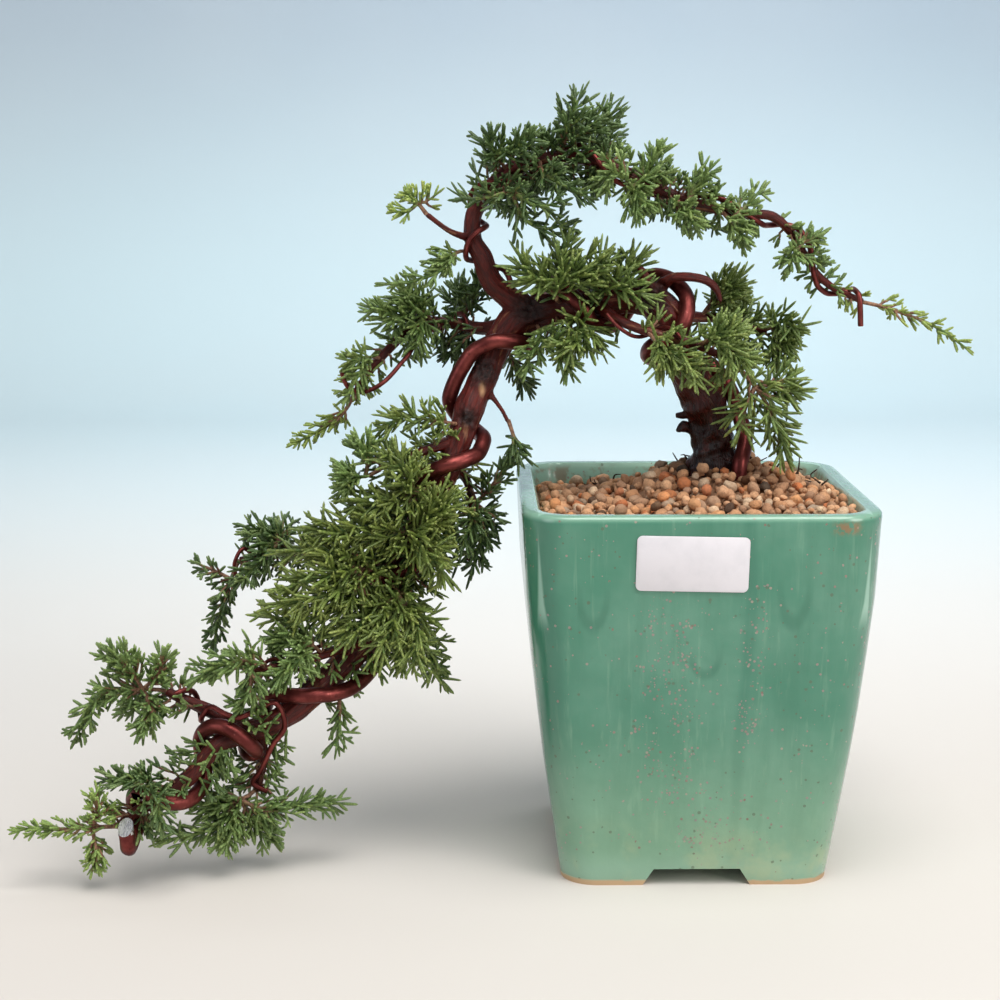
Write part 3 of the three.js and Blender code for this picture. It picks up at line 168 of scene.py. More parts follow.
# Sprays: tone (0 old dark growth, 1 common green, 2 young tips), then the stem and its forks as
# (side shoots, reach of a shoot, points). A fork leaves the stem at the stem's second point.
SPRAYS = {
    "crown_left": (0, (5, 12, [(-64, 4, 241), (-68, -3, 247), (-71, -5, 252)]), (5, 11, [(-61, -9, 249),
                   (-57, -11, 253)])),
    "crown_front": (0, (5, 13, [(-68, 4, 236), (-63, -10, 235), (-55, -16, 230), (-47, -18, 231)]),
                    (3, 9, [(-70, -14, 233), (-79, -12, 232)]), (4, 10, [(-59, -12, 226), (-52, -12, 222),
                    (-44, -10, 224)])),
    "crown_back": (0, (5, 13, [(-60, 3, 243), (-56, 16, 239), (-44, 22, 241), (-32, 20, 245)]),
                   (4, 12, [(-59, 22, 234), (-62, 22, 228)])),
    "crown_middle": (0, (6, 12, [(-53, 2, 245), (-52, -11, 241), (-46, -16, 237), (-38, -17, 233)])),
    "crown_top": (0, (6, 12, [(-46, 0, 246), (-44, -5, 253), (-42, -8, 260), (-40, -8, 266)]),
                  (5, 12, [(-36, -4, 255), (-28, -3, 261)])),
    "crown_top_back": (0, (5, 12, [(-33, -4, 244), (-30, 8, 250), (-27, 15, 256)]),
                                   (4, 11, [(-38, 17, 255), (-43, 20, 260)])),
    "arch_front": (1, (7, 12, [(-25, -5, 241), (-22, -15, 236), (-20, -18, 228)]),
                               (5, 10, [(-17, -14, 241), (-13, -13, 249)]),
                               (5, 11, [(-28, -16, 242), (-32, -18, 237)])),
    "arch_back": (0, (6, 12, [(-18, -6, 238), (-13, 6, 233), (0, 10, 226), (11, 9, 221)]),
                  (4, 11, [(-14, 14, 239), (-12, 18, 245)])),
    "arch_middle": (1, (5, 11, [(-7, -7, 233), (-5, -16, 229), (-1, -18, 223)]), (4, 10, [(-1, -14, 235),
                    (4, -13, 242)])),
    "arch_end": (1, (5, 11, [(8, -8, 229), (11, -15, 225), (16, -17, 218)]), (3, 8, [(17, -13, 230),
                 (22, -10, 235)])),
    "tip_bend": (1, (5, 9, [(36, -3, 218), (34, -11, 214), (32, -13, 209)]), (4, 8, [(38, -9, 218),
                 (43, -7, 219)]), (3, 7, [(40, -6, 212), (45, -2, 210)])),
    "tip_long": (2, (8, 7, [(60, 4, 196), (69, 3, 194), (76, 4, 191.5), (84, 4, 188.5), (91, 4, 184.5),
                 (98, 4, 179.5)])),
    "light_tuft": (2, (4, 9, [(-92, -8, 227), (-95, -10, 231), (-98, -11, 234)]), (3, 7, [(-98, -12, 228),
                   (-103, -12, 228)]), (2, 8, [(-92, -8, 231), (-91, -8, 235)])),
    "side_tuft": (1, (5, 8, [(-75, 0, 214), (-82, -3, 213), (-88, -7, 210)]), (3, 6, [(-87, -9, 208),
                  (-97, -8, 204), (-106, -7, 203)])),
    "left_inner": (0, (8, 12, [(-76, 13, 186), (-79, 22, 190), (-82, 26, 199)]), (6, 11, [(-80, 22, 182),
                   (-84, 20, 176)]), (7, 11, [(-76, 17, 197), (-72, 13, 204)])),
    "left_middle": (1, (8, 12, [(-90, 15, 187), (-94, 10, 193), (-100, 8, 198)]), (8, 11, [(-103, 4, 191),
                    (-111, 1, 194)]), (6, 11, [(-94, 3, 188), (-96, 2, 180)])),
    "left_bend": (1, (4, 9, [(-109, 8, 176), (-113, 1, 177), (-119, -1, 176)]), (3, 9, [(-115, -3, 173),
                  (-121, -4, 163)])),
    "left_tip": (2, (8, 8, [(-118, 5, 164), (-122, 4, 157), (-130, 4, 151), (-140, 4, 146)])),
    "fan_top": (1, (7, 13, [(-45, 4, 194), (-46, -10, 203), (-46, -13, 210), (-45, -13, 218)]),
                (5, 11, [(-53, -13, 205), (-60, -13, 209)]), (5, 12, [(-38, -13, 207), (-31, -13, 211)])),
    "fan_right": (1, (5, 11, [(-33, 3, 196), (-31, -8, 202), (-24, -10, 207), (-19, -10, 212)]),
                  (4, 11, [(-26, -13, 202), (-19, -16, 200)])),
    "fan_low": (1, (5, 11, [(-39, 3, 195), (-37, -9, 190), (-33, -12, 183)]), (4, 10, [(-39, -13, 185),
                (-44, -16, 182)])),
    "arch_rear": (0, (6, 13, [(-37, 3, 196), (-39, 17, 200), (-43, 23, 206)]), (5, 12, [(-30, 22, 198),
                  (-22, 24, 196)])),
    "hang_light": (1, (5, 10, [(-54, 4, 189), (-53, -10, 184), (-58, -12, 176)]), (4, 9, [(-47, -11, 182),
                   (-43, -10, 174)])),
    "hang_dark": (0, (5, 10, [(-65, 4, 183), (-62, 13, 174), (-57, 15, 165)])),
    "right_front": (1, (5, 11, [(-17, -18, 188), (-14, -25, 184), (-12, -27, 178)]),
                                (5, 11, [(-7, -29, 180), (-1, -31, 174)])),
    "right_upper": (1, (9, 11, [(0, -21, 183), (4, -28, 186), (12, -29, 189)]), (8, 10, [(11, -31, 181),
                    (17, -30, 178)])),
    "right_mass": (1, (11, 13, [(5, 12, 190), (9, 10, 196), (16, 6, 202)]), (9, 12, [(14, 20, 195),
                   (22, 28, 192)])),
    "right_far": (1, (7, 11, [(28, 16, 185), (31, 14, 186), (36, 12, 183)]), (4, 10, [(31, 10, 180),
                  (32, 8, 174)]), (4, 9, [(33, 5, 189), (38, 0, 187)])),
    "right_hang": (1, (7, 13, [(14, -19, 176), (20, -21, 169), (26, -21, 160), (31, -19, 147)]),
                   (2, 11, [(17, -23, 163), (15, -23, 155)]), (5, 11, [(28, -18, 169), (34, -16, 167)])),
    "upper_left_top": (1, (7, 11, [(-79, -7, 154), (-89, -18, 157), (-100, -22, 159), (-107, -23, 155)])),
    "upper_left_end": (1, (9, 12, [(-108, -23, 141), (-113, -26, 139), (-119, -27, 139)]),
                       (6, 11, [(-112, -25, 146), (-115, -24, 150)])),
    "upper_left_low": (1, (10, 12, [(-89, -12, 134), (-97, -23, 132), (-108, -28, 130),
                                    (-117, -28, 131)]),
                       (8, 11, [(-98, -29, 140), (-105, -31, 147)])),
    "bare_twig_tuft": (0, (4, 8, [(-64, -8, 156), (-62, -9, 150), (-60.5, -9, 143)])),
    "right_side": (0, (7, 11, [(-77, 2, 130), (-75, -2, 125), (-73, -3, 116), (-77, 0, 100)]),
                   (4, 10, [(-69, -4, 133), (-65, -5, 139)]), (4, 10, [(-71, 6, 119), (-73, 13, 107)]),
                   (5, 10, [(-77, -14, 121), (-80, -19, 113)])),
    "heart_front": (1, (10, 13, [(-97, -11, 118), (-99, -23, 119), (-92, -30, 114), (-86, -30, 106)]),
                    (8, 12, [(-91, -26, 125), (-86, -28, 131)]), (11, 12, [(-108, -26, 121),
                    (-120, -29, 121), (-130, -30, 121)])),
    "heart_left": (1, (13, 13, [(-102, -8, 103), (-113, -25, 106), (-126, -32, 106),
                                (-140, -33, 102)]), (10, 11, [(-119, -28, 96), (-131, -31, 91),
                                (-147, -30, 91)]), (9, 11, [(-127, -29, 114), (-140, -27, 113)]),
                                (9, 11, [(-128, -34, 99), (-143, -36, 97)])),
    "heart_back": (0, (7, 13, [(-101, -9, 111), (-101, 8, 112), (-107, 20, 100)]),
                               (5, 12, [(-111, 15, 114), (-119, 18, 120)])),
    "heart_low": (1, (10, 12, [(-104, -9, 98), (-102, -23, 97), (-104, -31, 89), (-109, -34, 80)]),
                               (10, 11, [(-96, -29, 88), (-97, -32, 75)]), (9, 11, [(-113, -29, 90),
                               (-122, -32, 84)])),
    "far_left_top": (0, (11, 11, [(-140, 8, 105), (-145, 3, 111), (-157, 4, 116)]),
                                  (9, 12, [(-146, 14, 112), (-152, 22, 106)]),
                                  (8, 10, [(-151, -5, 106), (-158, -10, 99)])),
    "far_left_droop": (0, (11, 9, [(-160, 5, 104), (-163, 4, 97), (-167, 4, 85), (-170, 4, 72)]),
                       (4, 7, [(-168, 3, 100), (-175, 3, 103)])),
    "lower_left_top": (1, (9, 11, [(-128, -27, 77), (-134, -32, 83), (-144, -33, 84)]),
                       (9, 10, [(-136, -40, 78), (-144, -43, 72)])),
    "lower_left_end": (1, (9, 11, [(-147, -34, 74), (-152, -42, 79), (-160, -44, 78), (-170, -42, 73)]),
                       (6, 10, [(-152, -42, 68), (-157, -38, 60)])),
    "lower_right": (1, (6, 11, [(-101, -2, 84), (-99, -12, 81), (-103, -17, 72)]), (6, 10, [(-93, -8, 74),
                    (-88, -4, 62)])),
    "under_twig": (1, (3, 9, [(-124, -18, 64), (-123, -22, 56), (-124, -22, 44)])),
    "pad_left": (1, (13, 12, [(-181, -30, 65), (-190, -31, 66), (-204, -31, 64), (-214, -30, 48)]),
                              (11, 12, [(-194, -33, 74), (-201, -33, 80)]),
                              (8, 11, [(-190, -24, 60), (-200, -16, 54)]),
                 (9, 9, [(-186, -37, 60), (-190, -40, 54)]), (8, 10, [(-184, -34, 72), (-182, -35, 79)])),
    "end_top": (0, (9, 9, [(-183, -43, 31), (-190, -48, 38), (-200, -48, 39)]), (9, 10, [(-183, -54, 34),
                (-181, -57, 26)])),
    "end_tip": (2, (12, 8, [(-197, -46, 22), (-206, -47, 22), (-218, -46, 21), (-232, -45, 21)]),
                (11, 9, [(-205, -47, 15), (-206, -47, 8)]), (7, 9, [(-203, -51, 29), (-204, -52, 35)])),
    "bottom_pad": (1, (11, 12, [(-152, -27, 29), (-157, -33, 27), (-171, -36, 25)]),
                                (11, 11, [(-147, -34, 23), (-134, -29, 24), (-122, -26, 23)]),
                                (10, 12, [(-160, -35, 20), (-163, -36, 12)]),
                                (8, 10, [(-168, -38, 18), (-183, -41, 15)]),
                                (9, 12, [(-153, -30, 18), (-146, -27, 11)])),
}

# Short shoots that clothe the wood itself: spray, branch, from and to along it, how many, longest
CLOTHING = [
    ("crown_left", "apex", 5.2, 7.4, 22, 8), ("crown_front", "apex", 6.4, 8.6, 22, 8),
    ("crown_back", "apex", 6.6, 8.4, 14, 9), ("crown_middle", "apex", 7.6, 9.6, 26, 7),
    ("crown_top", "apex", 8.4, 9.8, 13, 7), ("arch_front", "apex", 9.4, 11.0, 26, 5),
    ("arch_back", "apex", 10.4, 12.2, 22, 5), ("arch_middle", "apex", 10.9, 12.6, 22, 4.5),
    ("arch_end", "apex", 12.2, 13.6, 19, 4), ("tip_bend", "apex", 14.3, 17.2, 26, 3),
    ("tip_long", "apex", 17.0, 18, 8, 2.5),
    ("left_inner", "left_branch", 0.9, 2.4, 13, 7), ("left_middle", "left_branch", 2.0, 4.0, 18, 6),
    ("left_bend", "left_branch", 3.9, 5.6, 13, 4), ("left_tip", "left_branch", 5.3, 6, 5, 4),
    ("fan_top", "trunk", 9.7, 11.2, 13, 9), ("fan_right", "trunk", 8.6, 9.9, 10, 7),
    ("fan_low", "trunk", 9.4, 11.0, 8, 8), ("arch_rear", "trunk", 9.2, 11.0, 10, 9),
    ("right_front", "front_branch", 1.8, 4.0, 16, 6), ("right_upper", "front_branch", 3.4, 5.0, 10, 5),
    ("right_mass", "back_branch", 0.8, 2.4, 16, 8), ("right_far", "back_branch", 2.2, 3.0, 10, 6),
    ("right_hang", "front_branch", 4.3, 5.0, 6, 6),
    ("upper_left_top", "trunk", 16.2, 17.3, 9, 8), ("upper_left_top", "upper_left", 0.8, 2.0, 8, 7),
    ("upper_left_end", "upper_left", 1.8, 3.0, 10, 6), ("upper_left_low", "trunk", 17.2, 18.6, 16, 11),
    ("right_side", "trunk", 17.6, 19.4, 16, 10), ("right_side", "right_low", 0.8, 3.0, 16, 7),
    ("heart_front", "trunk", 18.2, 19.9, 23, 11), ("heart_left", "trunk", 19.4, 21.0, 21, 11),
    ("heart_back", "trunk", 18.6, 20.8, 16, 10), ("heart_low", "trunk", 20.4, 21.7, 18, 11),
    ("heart_left", "mid_left", 0.8, 2.2, 16, 8), ("far_left_top", "mid_left", 1.8, 3.6, 16, 6),
    ("far_left_droop", "mid_left", 3.3, 4.0, 8, 5), ("lower_right", "trunk", 21.2, 22.5, 13, 8),
    ("lower_left_top", "trunk", 21.8, 23.6, 13, 9), ("lower_left_top", "front_left", 0.6, 2.0, 13, 7),
    ("lower_left_end", "front_left", 1.8, 3.0, 16, 7), ("pad_left", "pad_branch", 1.8, 3.0, 13, 6),
    ("end_top", "trunk", 26.3, 30.0, 36, 9), ("end_tip", "trunk", 29.6, 31.0, 15, 6),
    ("bottom_pad", "bottom_branch", 0.4, 2.0, 23, 9), ("bottom_pad", "trunk", 24.6, 27.4, 30, 10),
]

# Leaf cords of the three tones: slot, length, radius, lean from the twig
LEAF_TONES = [("needles_dark", 7.9, 0.54, 50), ("needles_green", 8.5, 0.56, 48),
              ("needles_light", 4.8, 0.48, 38)]
# Sprays whose cords are longer or shorter than their tone's usual ones
LONG_LEAVED = {"heart_front": 1.25, "heart_left": 1.2, "heart_low": 1.2, "fan_top": 1.25,
               "fan_right": 1.2, "fan_low": 1.15, "upper_left_low": 1.15, "right_hang": 1.35,
               "right_front": 1.1, "pad_left": 0.76, "lower_left_top": 0.9, "lower_left_end": 0.85,
               "bottom_pad": 0.8, "end_top": 0.75, "arch_front": 0.78, "arch_back": 0.85,
               "arch_middle": 0.75, "arch_end": 0.7, "tip_bend": 0.62, "left_bend": 0.8,
               "side_tuft": 0.75, "far_left_top": 0.85, "far_left_droop": 0.7,
               "upper_left_end": 0.85}
# How far the green leans to olive, where it is not the usual little
OLIVE = {"heart_front": 0.8, "heart_left": 0.8, "heart_low": 0.7, "upper_left_low": 0.7,
         "upper_left_top": 0.6, "fan_top": 0.5, "fan_right": 0.5, "fan_low": 0.6,
         "right_front": 0.55, "right_upper": 0.45, "right_mass": 0.45, "right_far": 0.4,
         "right_hang": 0.5, "tip_long": 0.5, "light_tuft": 0.5, "left_tip": 0.6, "left_bend": 0.4,
         "lower_right": 0.5}
USUAL_OLIVE = 0.15
# Sprays whose leaves are younger and paler than their neighbours'
PALER = {"far_left_top": 0.3, "far_left_droop": 0.35, "end_top": 0.25, "right_side": 0.1,
         "crown_front": 0.1}
# Growth: shoots for each one listed, space between cords, cords at a twig's end, share that fork
SHOOTS_PER_LISTED, CORD_SPACING, END_CORDS, FORKED_SHARE = 2.1, 1.9, 2, 0.28
# Stems: their radius at the root, the room kept to other pieces, and a little more while bending
STEM_RADIUS, CLEAR, SPARE = 0.8, 0.35, 0.15
# Seeds of the soil, of the first spray, and the step from spray to spray
SOIL_SEED, FIRST_SPRAY_SEED, SPRAY_SEED_STEP = 4242, 1000, 77
GOLDEN_TURN = math.radians(137.5)

# Camera, in millimetres from the middle of the pot's underside and in degrees
CAMERA = {"place": (-77.3, -709.4, 250.65), "tilt": 80.055, "swing": 0.856, "lens": 73.152, "sensor": 36}
# Soft lights, in metres: name, place, what it faces, width, power, colour
LIGHTS = [
    ("light_over", (0.22, -0.5, 1.33), (0, 0, 0.12), 1.25, 22.5, (1.0, 0.99, 0.96)),
    ("light_right", (1.1, -0.95, 0.6), (0, 0, 0.12), 0.8, 8.5, (1.0, 0.97, 0.93)),
    ("light_left", (-1.3, -0.9, 0.5), (-0.05, 0, 0.12), 1.0, 5.0, (0.95, 0.98, 1.0)),
    ("light_behind", (0.1, 0.45, 0.95), (-0.25, 1.5, 0.2), 0.9, 6.8, (0.98, 0.99, 1.0)),
]
# The sky's colour and strength
SKY = {"colour": (0.80, 0.90, 0.97, 1), "strength": 0.24}
# Pale sweep, in metres: how far it runs flat, its bend's radius and steps, how far it reaches
SWEEP = {"flat": 1.15, "round": 0.5, "steps": 12, "reach": 3.0}


# Lines through the tree, the same as in the solids

def unit(v):
    return v / np.maximum(np.linalg.norm(v, axis=-1, keepdims=True), 1e-9)


def between(p0, p1, p2, p3, t):
    """The point at share t of the way from p1 to p2, on a smooth line through all four."""
    return 0.5 * (2 * p1 + (p2 - p0) * t + (2 * p0 - 5 * p1 + 4 * p2 - p3) * t ** 2
                  + (3 * p1 - p0 - 3 * p2 + p3) * t ** 3)


def smooth(points, step):
    """A smooth line through the listed points, sampled about `step` apart; a radius rides along."""
    pts = np.array(points, float)
    last = len(pts) - 1
    out = []
    for i in range(last):
        p0, p1, p2, p3 = pts[max(0, i - 1)], pts[i], pts[i + 1], pts[min(last, i + 2)]
        count = max(1, int(np.linalg.norm(p2[:3] - p1[:3]) / step + 0.5))
        out += [between(p0, p1, p2, p3, t) for t in np.arange(count) / count]
    return np.array(out + [pts[-1]])


class Bars:
    """Round bars that stand for wood, wires and stems when a neighbour is kept off them."""

    def __init__(self):
        self.rows, self.nodes = [], []

    def take(self, line, radii, node):
        radii = np.broadcast_to(radii, len(line))
        for k in range(len(line) - 1):
            self.rows.append([*line[k][:3], *line[k + 1][:3], radii[k], radii[k + 1]])
            self.nodes.append(node)

    def gap(self, points, keep):
        """Distance from each point to each kept bar's skin, and the way off it."""
        rows = np.array(self.rows)[keep]
        a, ab = rows[:, :3], rows[:, 3:6] - rows[:, :3]
        off = points[:, None] - a
        t = np.clip((off * ab).sum(-1) / np.maximum((ab * ab).sum(-1), 1e-9), 0, 1)
        away = off - t[..., None] * ab
        far = np.linalg.norm(away, axis=-1)
        return far - (rows[:, 6] + (rows[:, 7] - rows[:, 6]) * t), away / np.maximum(far, 1e-9)[..., None]

    def keep(self, test):
        return np.array([test(node) for node in self.nodes])

    def clearance(self, points, keep):
        """How far each point is from the nearest kept bar's skin."""
        parts = [self.gap(points[k:k + 1500], keep)[0].min(axis=1) for k in range(0, len(points), 1500)]
        return np.concatenate(parts)


bars = Bars()
for line in WOOD.values():
    line = smooth(line, 6)
    bars.take(line, line[:, 3], "trunk")


def bend_clear(path, radius, node, rooted):
    """Moves the middle of a stem or wire until it clears everything else."""
    keep = bars.keep(lambda other: other != node)
    wood = np.array(bars.nodes)[keep] == "trunk"
    for _ in range(40):
        far, away = bars.gap(path, keep)
        short = radius + CLEAR + SPARE - far
        in_wood = ((short > 0) & wood).any(axis=1)
        free = np.concatenate([[not rooted], np.logical_or.accumulate(~in_wood)[:-1] | (not rooted)])
        use = (short > 0) & (~wood | free[:, None])
        if not use.any():
            break
        push = (away * (short * 0.7 * use)[..., None]).sum(axis=1)
        before, after = np.vstack([push[:1], push[:-1]]), np.vstack([push[1:], push[-1:]])
        path = path + 0.6 * push + 0.3 * before + 0.3 * after
    return path


def wire_line(host, radius, step, lead, turns, tail):
    """The wound line of a wire on its host, with its loose ends."""
    points = np.array(WOOD[host], float)
    last = len(points) - 1

    def at(place):
        i = min(last - 1, int(place))
        return between(*(points[min(last, max(0, i + k))] for k in (-1, 0, 1, 2)), place - i)

    wound = []
    for (pa, aa), (pb, ab) in zip(turns, turns[1:]):
        count = max(1, int(abs(ab - aa) / step + 0.5), int(abs(pb - pa) / 0.8 + 0.5))
        wound += [(pa + (pb - pa) * j / count, aa + (ab - aa) * j / count) for j in range(count)]
    wound.append(turns[-1])
    coil = []
    for place, angle in wound:
        here = at(place)
        t = unit((at(min(last, place + 0.15)) - at(max(0, place - 0.15)))[:3])
        front = unit(np.array([0, -1, 0]) + t * t[1])
        side = np.cross(t, front)
        r = (here[3] + radius + GAP) * 1.04
        a = math.radians(angle)
        coil.append(here[:3] + front * r * math.cos(a) + side * r * math.sin(a))
    return np.array([*lead, *coil, *tail], float)


wire_lines = {}
for name, (host, radius, step, lead, turns, tail) in WIRES.items():
    line = smooth(wire_line(host, radius, step, lead, turns, tail), 2)
    line = bend_clear(line, radius + 0.18, name, False)
    bars.take(line, radius, name)
    wire_lines[name] = line
HARD = slice(0, len(bars.rows))


def soil_top(x, y):
    """Height of the soil's top, which leans a little to the back and the right."""
    away = (x - MOUND["x"]) ** 2 + (y - MOUND["y"]) ** 2
    mound = MOUND["rise"] * np.exp(-away / (2 * MOUND["spread"] ** 2))
    return SOIL_LEVEL + mound - 0.05 * y + 0.015 * x


def off_pot(p):
    """Distance of points to the table, the pot and the soil."""
    x, y, z = p.T
    side = np.maximum(np.abs(x), np.abs(y)) - KEEP_OFF["rim_half"]
    over_soil = z - soil_top(x, y) - KEEP_OFF["soil"]
    over = np.where(side > -KEEP_OFF["rim_width"], z - KEEP_OFF["rim_top"], over_soil)
    return np.minimum(z - KEEP_OFF["table"], np.maximum(side, over))


# Camera, light and floor

def put_in_scene(name, data):
    obj = bpy.data.objects.new(name, data)
    bpy.context.scene.collection.objects.link(obj)
    return obj


def place_camera():
    data = bpy.data.cameras.new("camera")
    data.lens, data.sensor_width = CAMERA["lens"], CAMERA["sensor"]
    data.clip_start, data.clip_end = 0.02, 20
    camera = put_in_scene("camera", data)
    camera.location = PLACE + Vector(CAMERA["place"]) * MM
    camera.rotation_euler = (math.radians(CAMERA["tilt"]), 0, -math.radians(CAMERA["swing"]))
    bpy.context.scene.camera = camera


def soft_light(name, place, aim, width, power, colour):
    data = bpy.data.lights.new(name, "AREA")
    data.shape, data.size, data.energy, data.color = "DISK", width, power, colour
    lamp = put_in_scene(name, data)
    lamp.location = place
    lamp.rotation_euler = (Vector(aim) - Vector(place)).to_track_quat("-Z", "Y").to_euler()


place_camera()
for light in LIGHTS:
    soft_light(*light)

scene = bpy.context.scene
scene.view_settings.view_transform = "Standard"
scene.world = scene.world or bpy.data.worlds.new("world")
scene.world.use_nodes = True
sky = scene.world.node_tree.nodes["Background"]
sky.inputs["Color"].default_value = SKY["colour"]
sky.inputs["Strength"].default_value = SKY["strength"]


# Shader nodes

def tint(r, g, b):
    """A colour as seen on a screen, 0 to 255, as Blender's own linear numbers."""
    linear = [c / 255 / 12.92 if c < 11 else ((c / 255 + 0.055) / 1.055) ** 2.4 for c in (r, g, b)]
    return (*linear, 1)


class Nodes:
    """Puts shader nodes in one tree and links them."""

    def __init__(self, tree):
        self.tree = tree

    def put(self, kind, inputs=None, out=0, **settings):
        node = self.tree.nodes.new("ShaderNode" + kind)
        for name, value in settings.items():
            setattr(node, name, value)
        for name, value in (inputs or {}).items():
            if isinstance(value, bpy.types.NodeSocket):
                self.tree.links.new(value, node.inputs[name])
            else:
                node.inputs[name].default_value = value
        return node.outputs[out]

    def mix(self, share, a, b, blend="MIX"):
        return self.put("Mix", {0: share, 6: a, 7: b}, out=2, data_type="RGBA", blend_type=blend)

    def laid_over(self, body, mask, strength, colour):
        """The colour over the body where the mask is, as strong as said."""
        return self.mix(self.times(mask, strength), body, colour)

    def calc(self, operation, a, b=0.0):
        return self.put("Math", {0: a, 1: b}, operation=operation)

    def times(self, a, b):
        return self.calc("MULTIPLY", a, b)

    def plus(self, a, b):
        return self.calc("ADD", a, b)

    def most(self, a, b):
        return self.calc("MAXIMUM", a, b)

    def fit(self, value, low, high, to_low=0.0, to_high=1.0):
        return self.put("MapRange", {"Value": value, "From Min": low, "From Max": high, "To Min": to_low,
                                     "To Max": to_high}, interpolation_type="SMOOTHSTEP")

    def ramp(self, value, *stops):
        node = self.put("ValToRGB", {"Fac": value}).node
        marks = node.color_ramp.elements
        while len(marks) < len(stops):
            marks.new(0.5)
        for mark, (place, colour) in zip(marks, stops):
            mark.position, mark.color = place, colour
        return node.outputs[0]

    def bump(self, height, strength, distance, under=None):
        inputs = {"Height": height, "Strength": strength, "Distance": distance}
        if under is not None:
            inputs["Normal"] = under
        return self.put("Bump", inputs)

    def band(self, value, middle, half, soft):
        """1 within `half` of the middle, falling to 0 over `soft`."""
        off = self.calc("ABSOLUTE", self.calc("SUBTRACT", value, middle))
        return self.fit(off, half + soft, half)

    def noise(self, where, scale, detail, **more):
        return self.put("TexNoise", {"Vector": where, "Scale": scale, "Detail": detail, **more})

    def attribute(self, name):
        return self.put("Attribute", attribute_name=name, out="Vector")

    def parts(self, vector):
        return self.put("SeparateXYZ", {"Vector": vector}).node.outputs

    def cloud(self, where, per_millimetre, start, end):
        """Soft patches, from 0 where the noise is below the start to 1 where it is over the end."""
        return self.use(patches, {"Vector": where, "Per Millimetre": per_millimetre,
                                  "From": start, "To": end})

    def dots(self, where, per_millimetre, share):
        """Round specks in this share of the cells."""
        return self.use(specks, {"Vector": where, "Per Millimetre": per_millimetre, "Share": share})

    def use(self, tree, inputs):
        return self.put("Group", inputs, node_tree=tree)

    def millimetres(self):
        """Object coordinates in millimetres from the middle of the pot's underside."""
        here = self.put("TexCoord", out="Object")
        return self.put("Mapping", {"Vector": here, "Location": -PLACE / MM, "Scale": (1 / MM,) * 3})

    def stretched(self, vector, x, y, z):
        """The same place with its pattern's size along each axis given in millimetres."""
        return self.put("Mapping", {"Vector": vector, "Scale": (1 / x, 1 / y, 1 / z)})


def node_group(name, takes, gives, build):
    tree = bpy.data.node_groups.new(name, "ShaderNodeTree")
    for label, kind, value in takes:
        socket = tree.interface.new_socket(label, in_out="INPUT", socket_type="NodeSocket" + kind)
        if value is not None:
            socket.default_value = value
    for label, kind in gives:
        tree.interface.new_socket(label, in_out="OUTPUT", socket_type="NodeSocket" + kind)
    source, sink = tree.nodes.new("NodeGroupInput"), tree.nodes.new("NodeGroupOutput")
    for label, socket in build(Nodes(tree), source.outputs).items():
        tree.links.new(socket, sink.inputs[label])
    return tree


def build_patches(n, given):
    cloud = n.noise(given["Vector"], given["Per Millimetre"], 4.0, Roughness=0.6)
    return {"Mask": n.fit(cloud, given["From"], given["To"])}


def build_specks(n, given):
    cells = n.put("TexVoronoi", {"Vector": given["Vector"], "Scale": given["Per Millimetre"],
                                 "Randomness": 1.0}, out="Distance").node
    pick = n.put("SeparateColor", {"Color": cells.outputs["Color"]}, out=0).node
    size = n.fit(pick.outputs[1], 0.0, 1.0, 0.1, 0.42)
    inside = n.calc("LESS_THAN", n.calc("SUBTRACT", cells.outputs["Distance"], size), 0.0)
    chosen = n.calc("LESS_THAN", pick.outputs[0], given["Share"])
    return {"Mask": n.times(inside, chosen), "Shade": pick.outputs[2]}


def build_leaf(n, given):
    along, tone, warmth = n.parts(n.attribute("leaf"))
    place = n.put("TexCoord", out="Object")
    drift = n.fit(n.noise(place, 45.0, 2.0), 0.35, 0.66)
    # Darker towards each cord's root: painted shade deep inside the spray
    body = n.mix(n.fit(along, -0.1, 0.25), given["Root"], given["Body"])
    body = n.mix(n.fit(along, 0.72, 1.0, 0.0, 0.75), body, given["Tip"])
    body = n.laid_over(body, drift, 0.32, given["Tip"])
    body = n.mix(n.fit(tone, 0.0, 1.0, 0.4, 0.0), body, given["Root"])
    body = n.mix(n.fit(tone, 0.86, 1.0, 0.0, 0.5), body, given["Fresh"])
    cast = n.ramp(warmth, (0.0, tint(234, 250, 238)), (1.0, tint(255, 246, 196)))
    body = n.mix(1.0, body, cast, "MULTIPLY")
    scales = n.calc("SINE", n.times(along, given["Scales"]))
    body = n.mix(n.fit(scales, -1.0, -0.2, 0.34, 0.0), body, given["Root"])
    return {"Color": body, "Height": scales}


patches = node_group("soft_patches", [("Vector", "Vector", None), ("Per Millimetre", "Float", 0.1),
                                      ("From", "Float", 0.4), ("To", "Float", 0.6)],
                     [("Mask", "Float")], build_patches)
specks = node_group("specks", [("Vector", "Vector", None), ("Per Millimetre", "Float", 0.5),
                               ("Share", "Float", 0.3)],
                    [("Mask", "Float"), ("Shade", "Float")], build_specks)
leaf_colour = node_group("leaf_colour", [("Root", "Color", tint(30, 50, 25)),
                                         ("Body", "Color", tint(60, 90, 40)),
                                         ("Tip", "Color", tint(100, 130, 60)),
                                         ("Fresh", "Color", tint(140, 160, 80)), ("Scales", "Float", 40.0)],
                         [("Color", "Color"), ("Height", "Float")], build_leaf)


def material(name, build, **constants):
    """A material whose build gives the changing sockets; what is the same all over is set here."""
    made = bpy.data.materials.new(name)
    made.use_nodes = True
    shader = made.node_tree.nodes["Principled BSDF"]
    n = Nodes(made.node_tree)
    for label, socket in build(n).items():
        made.node_tree.links.new(socket, shader.inputs[label])
    for label, value in constants.items():
        shader.inputs[label.replace("_", " ")].default_value = value
    return made


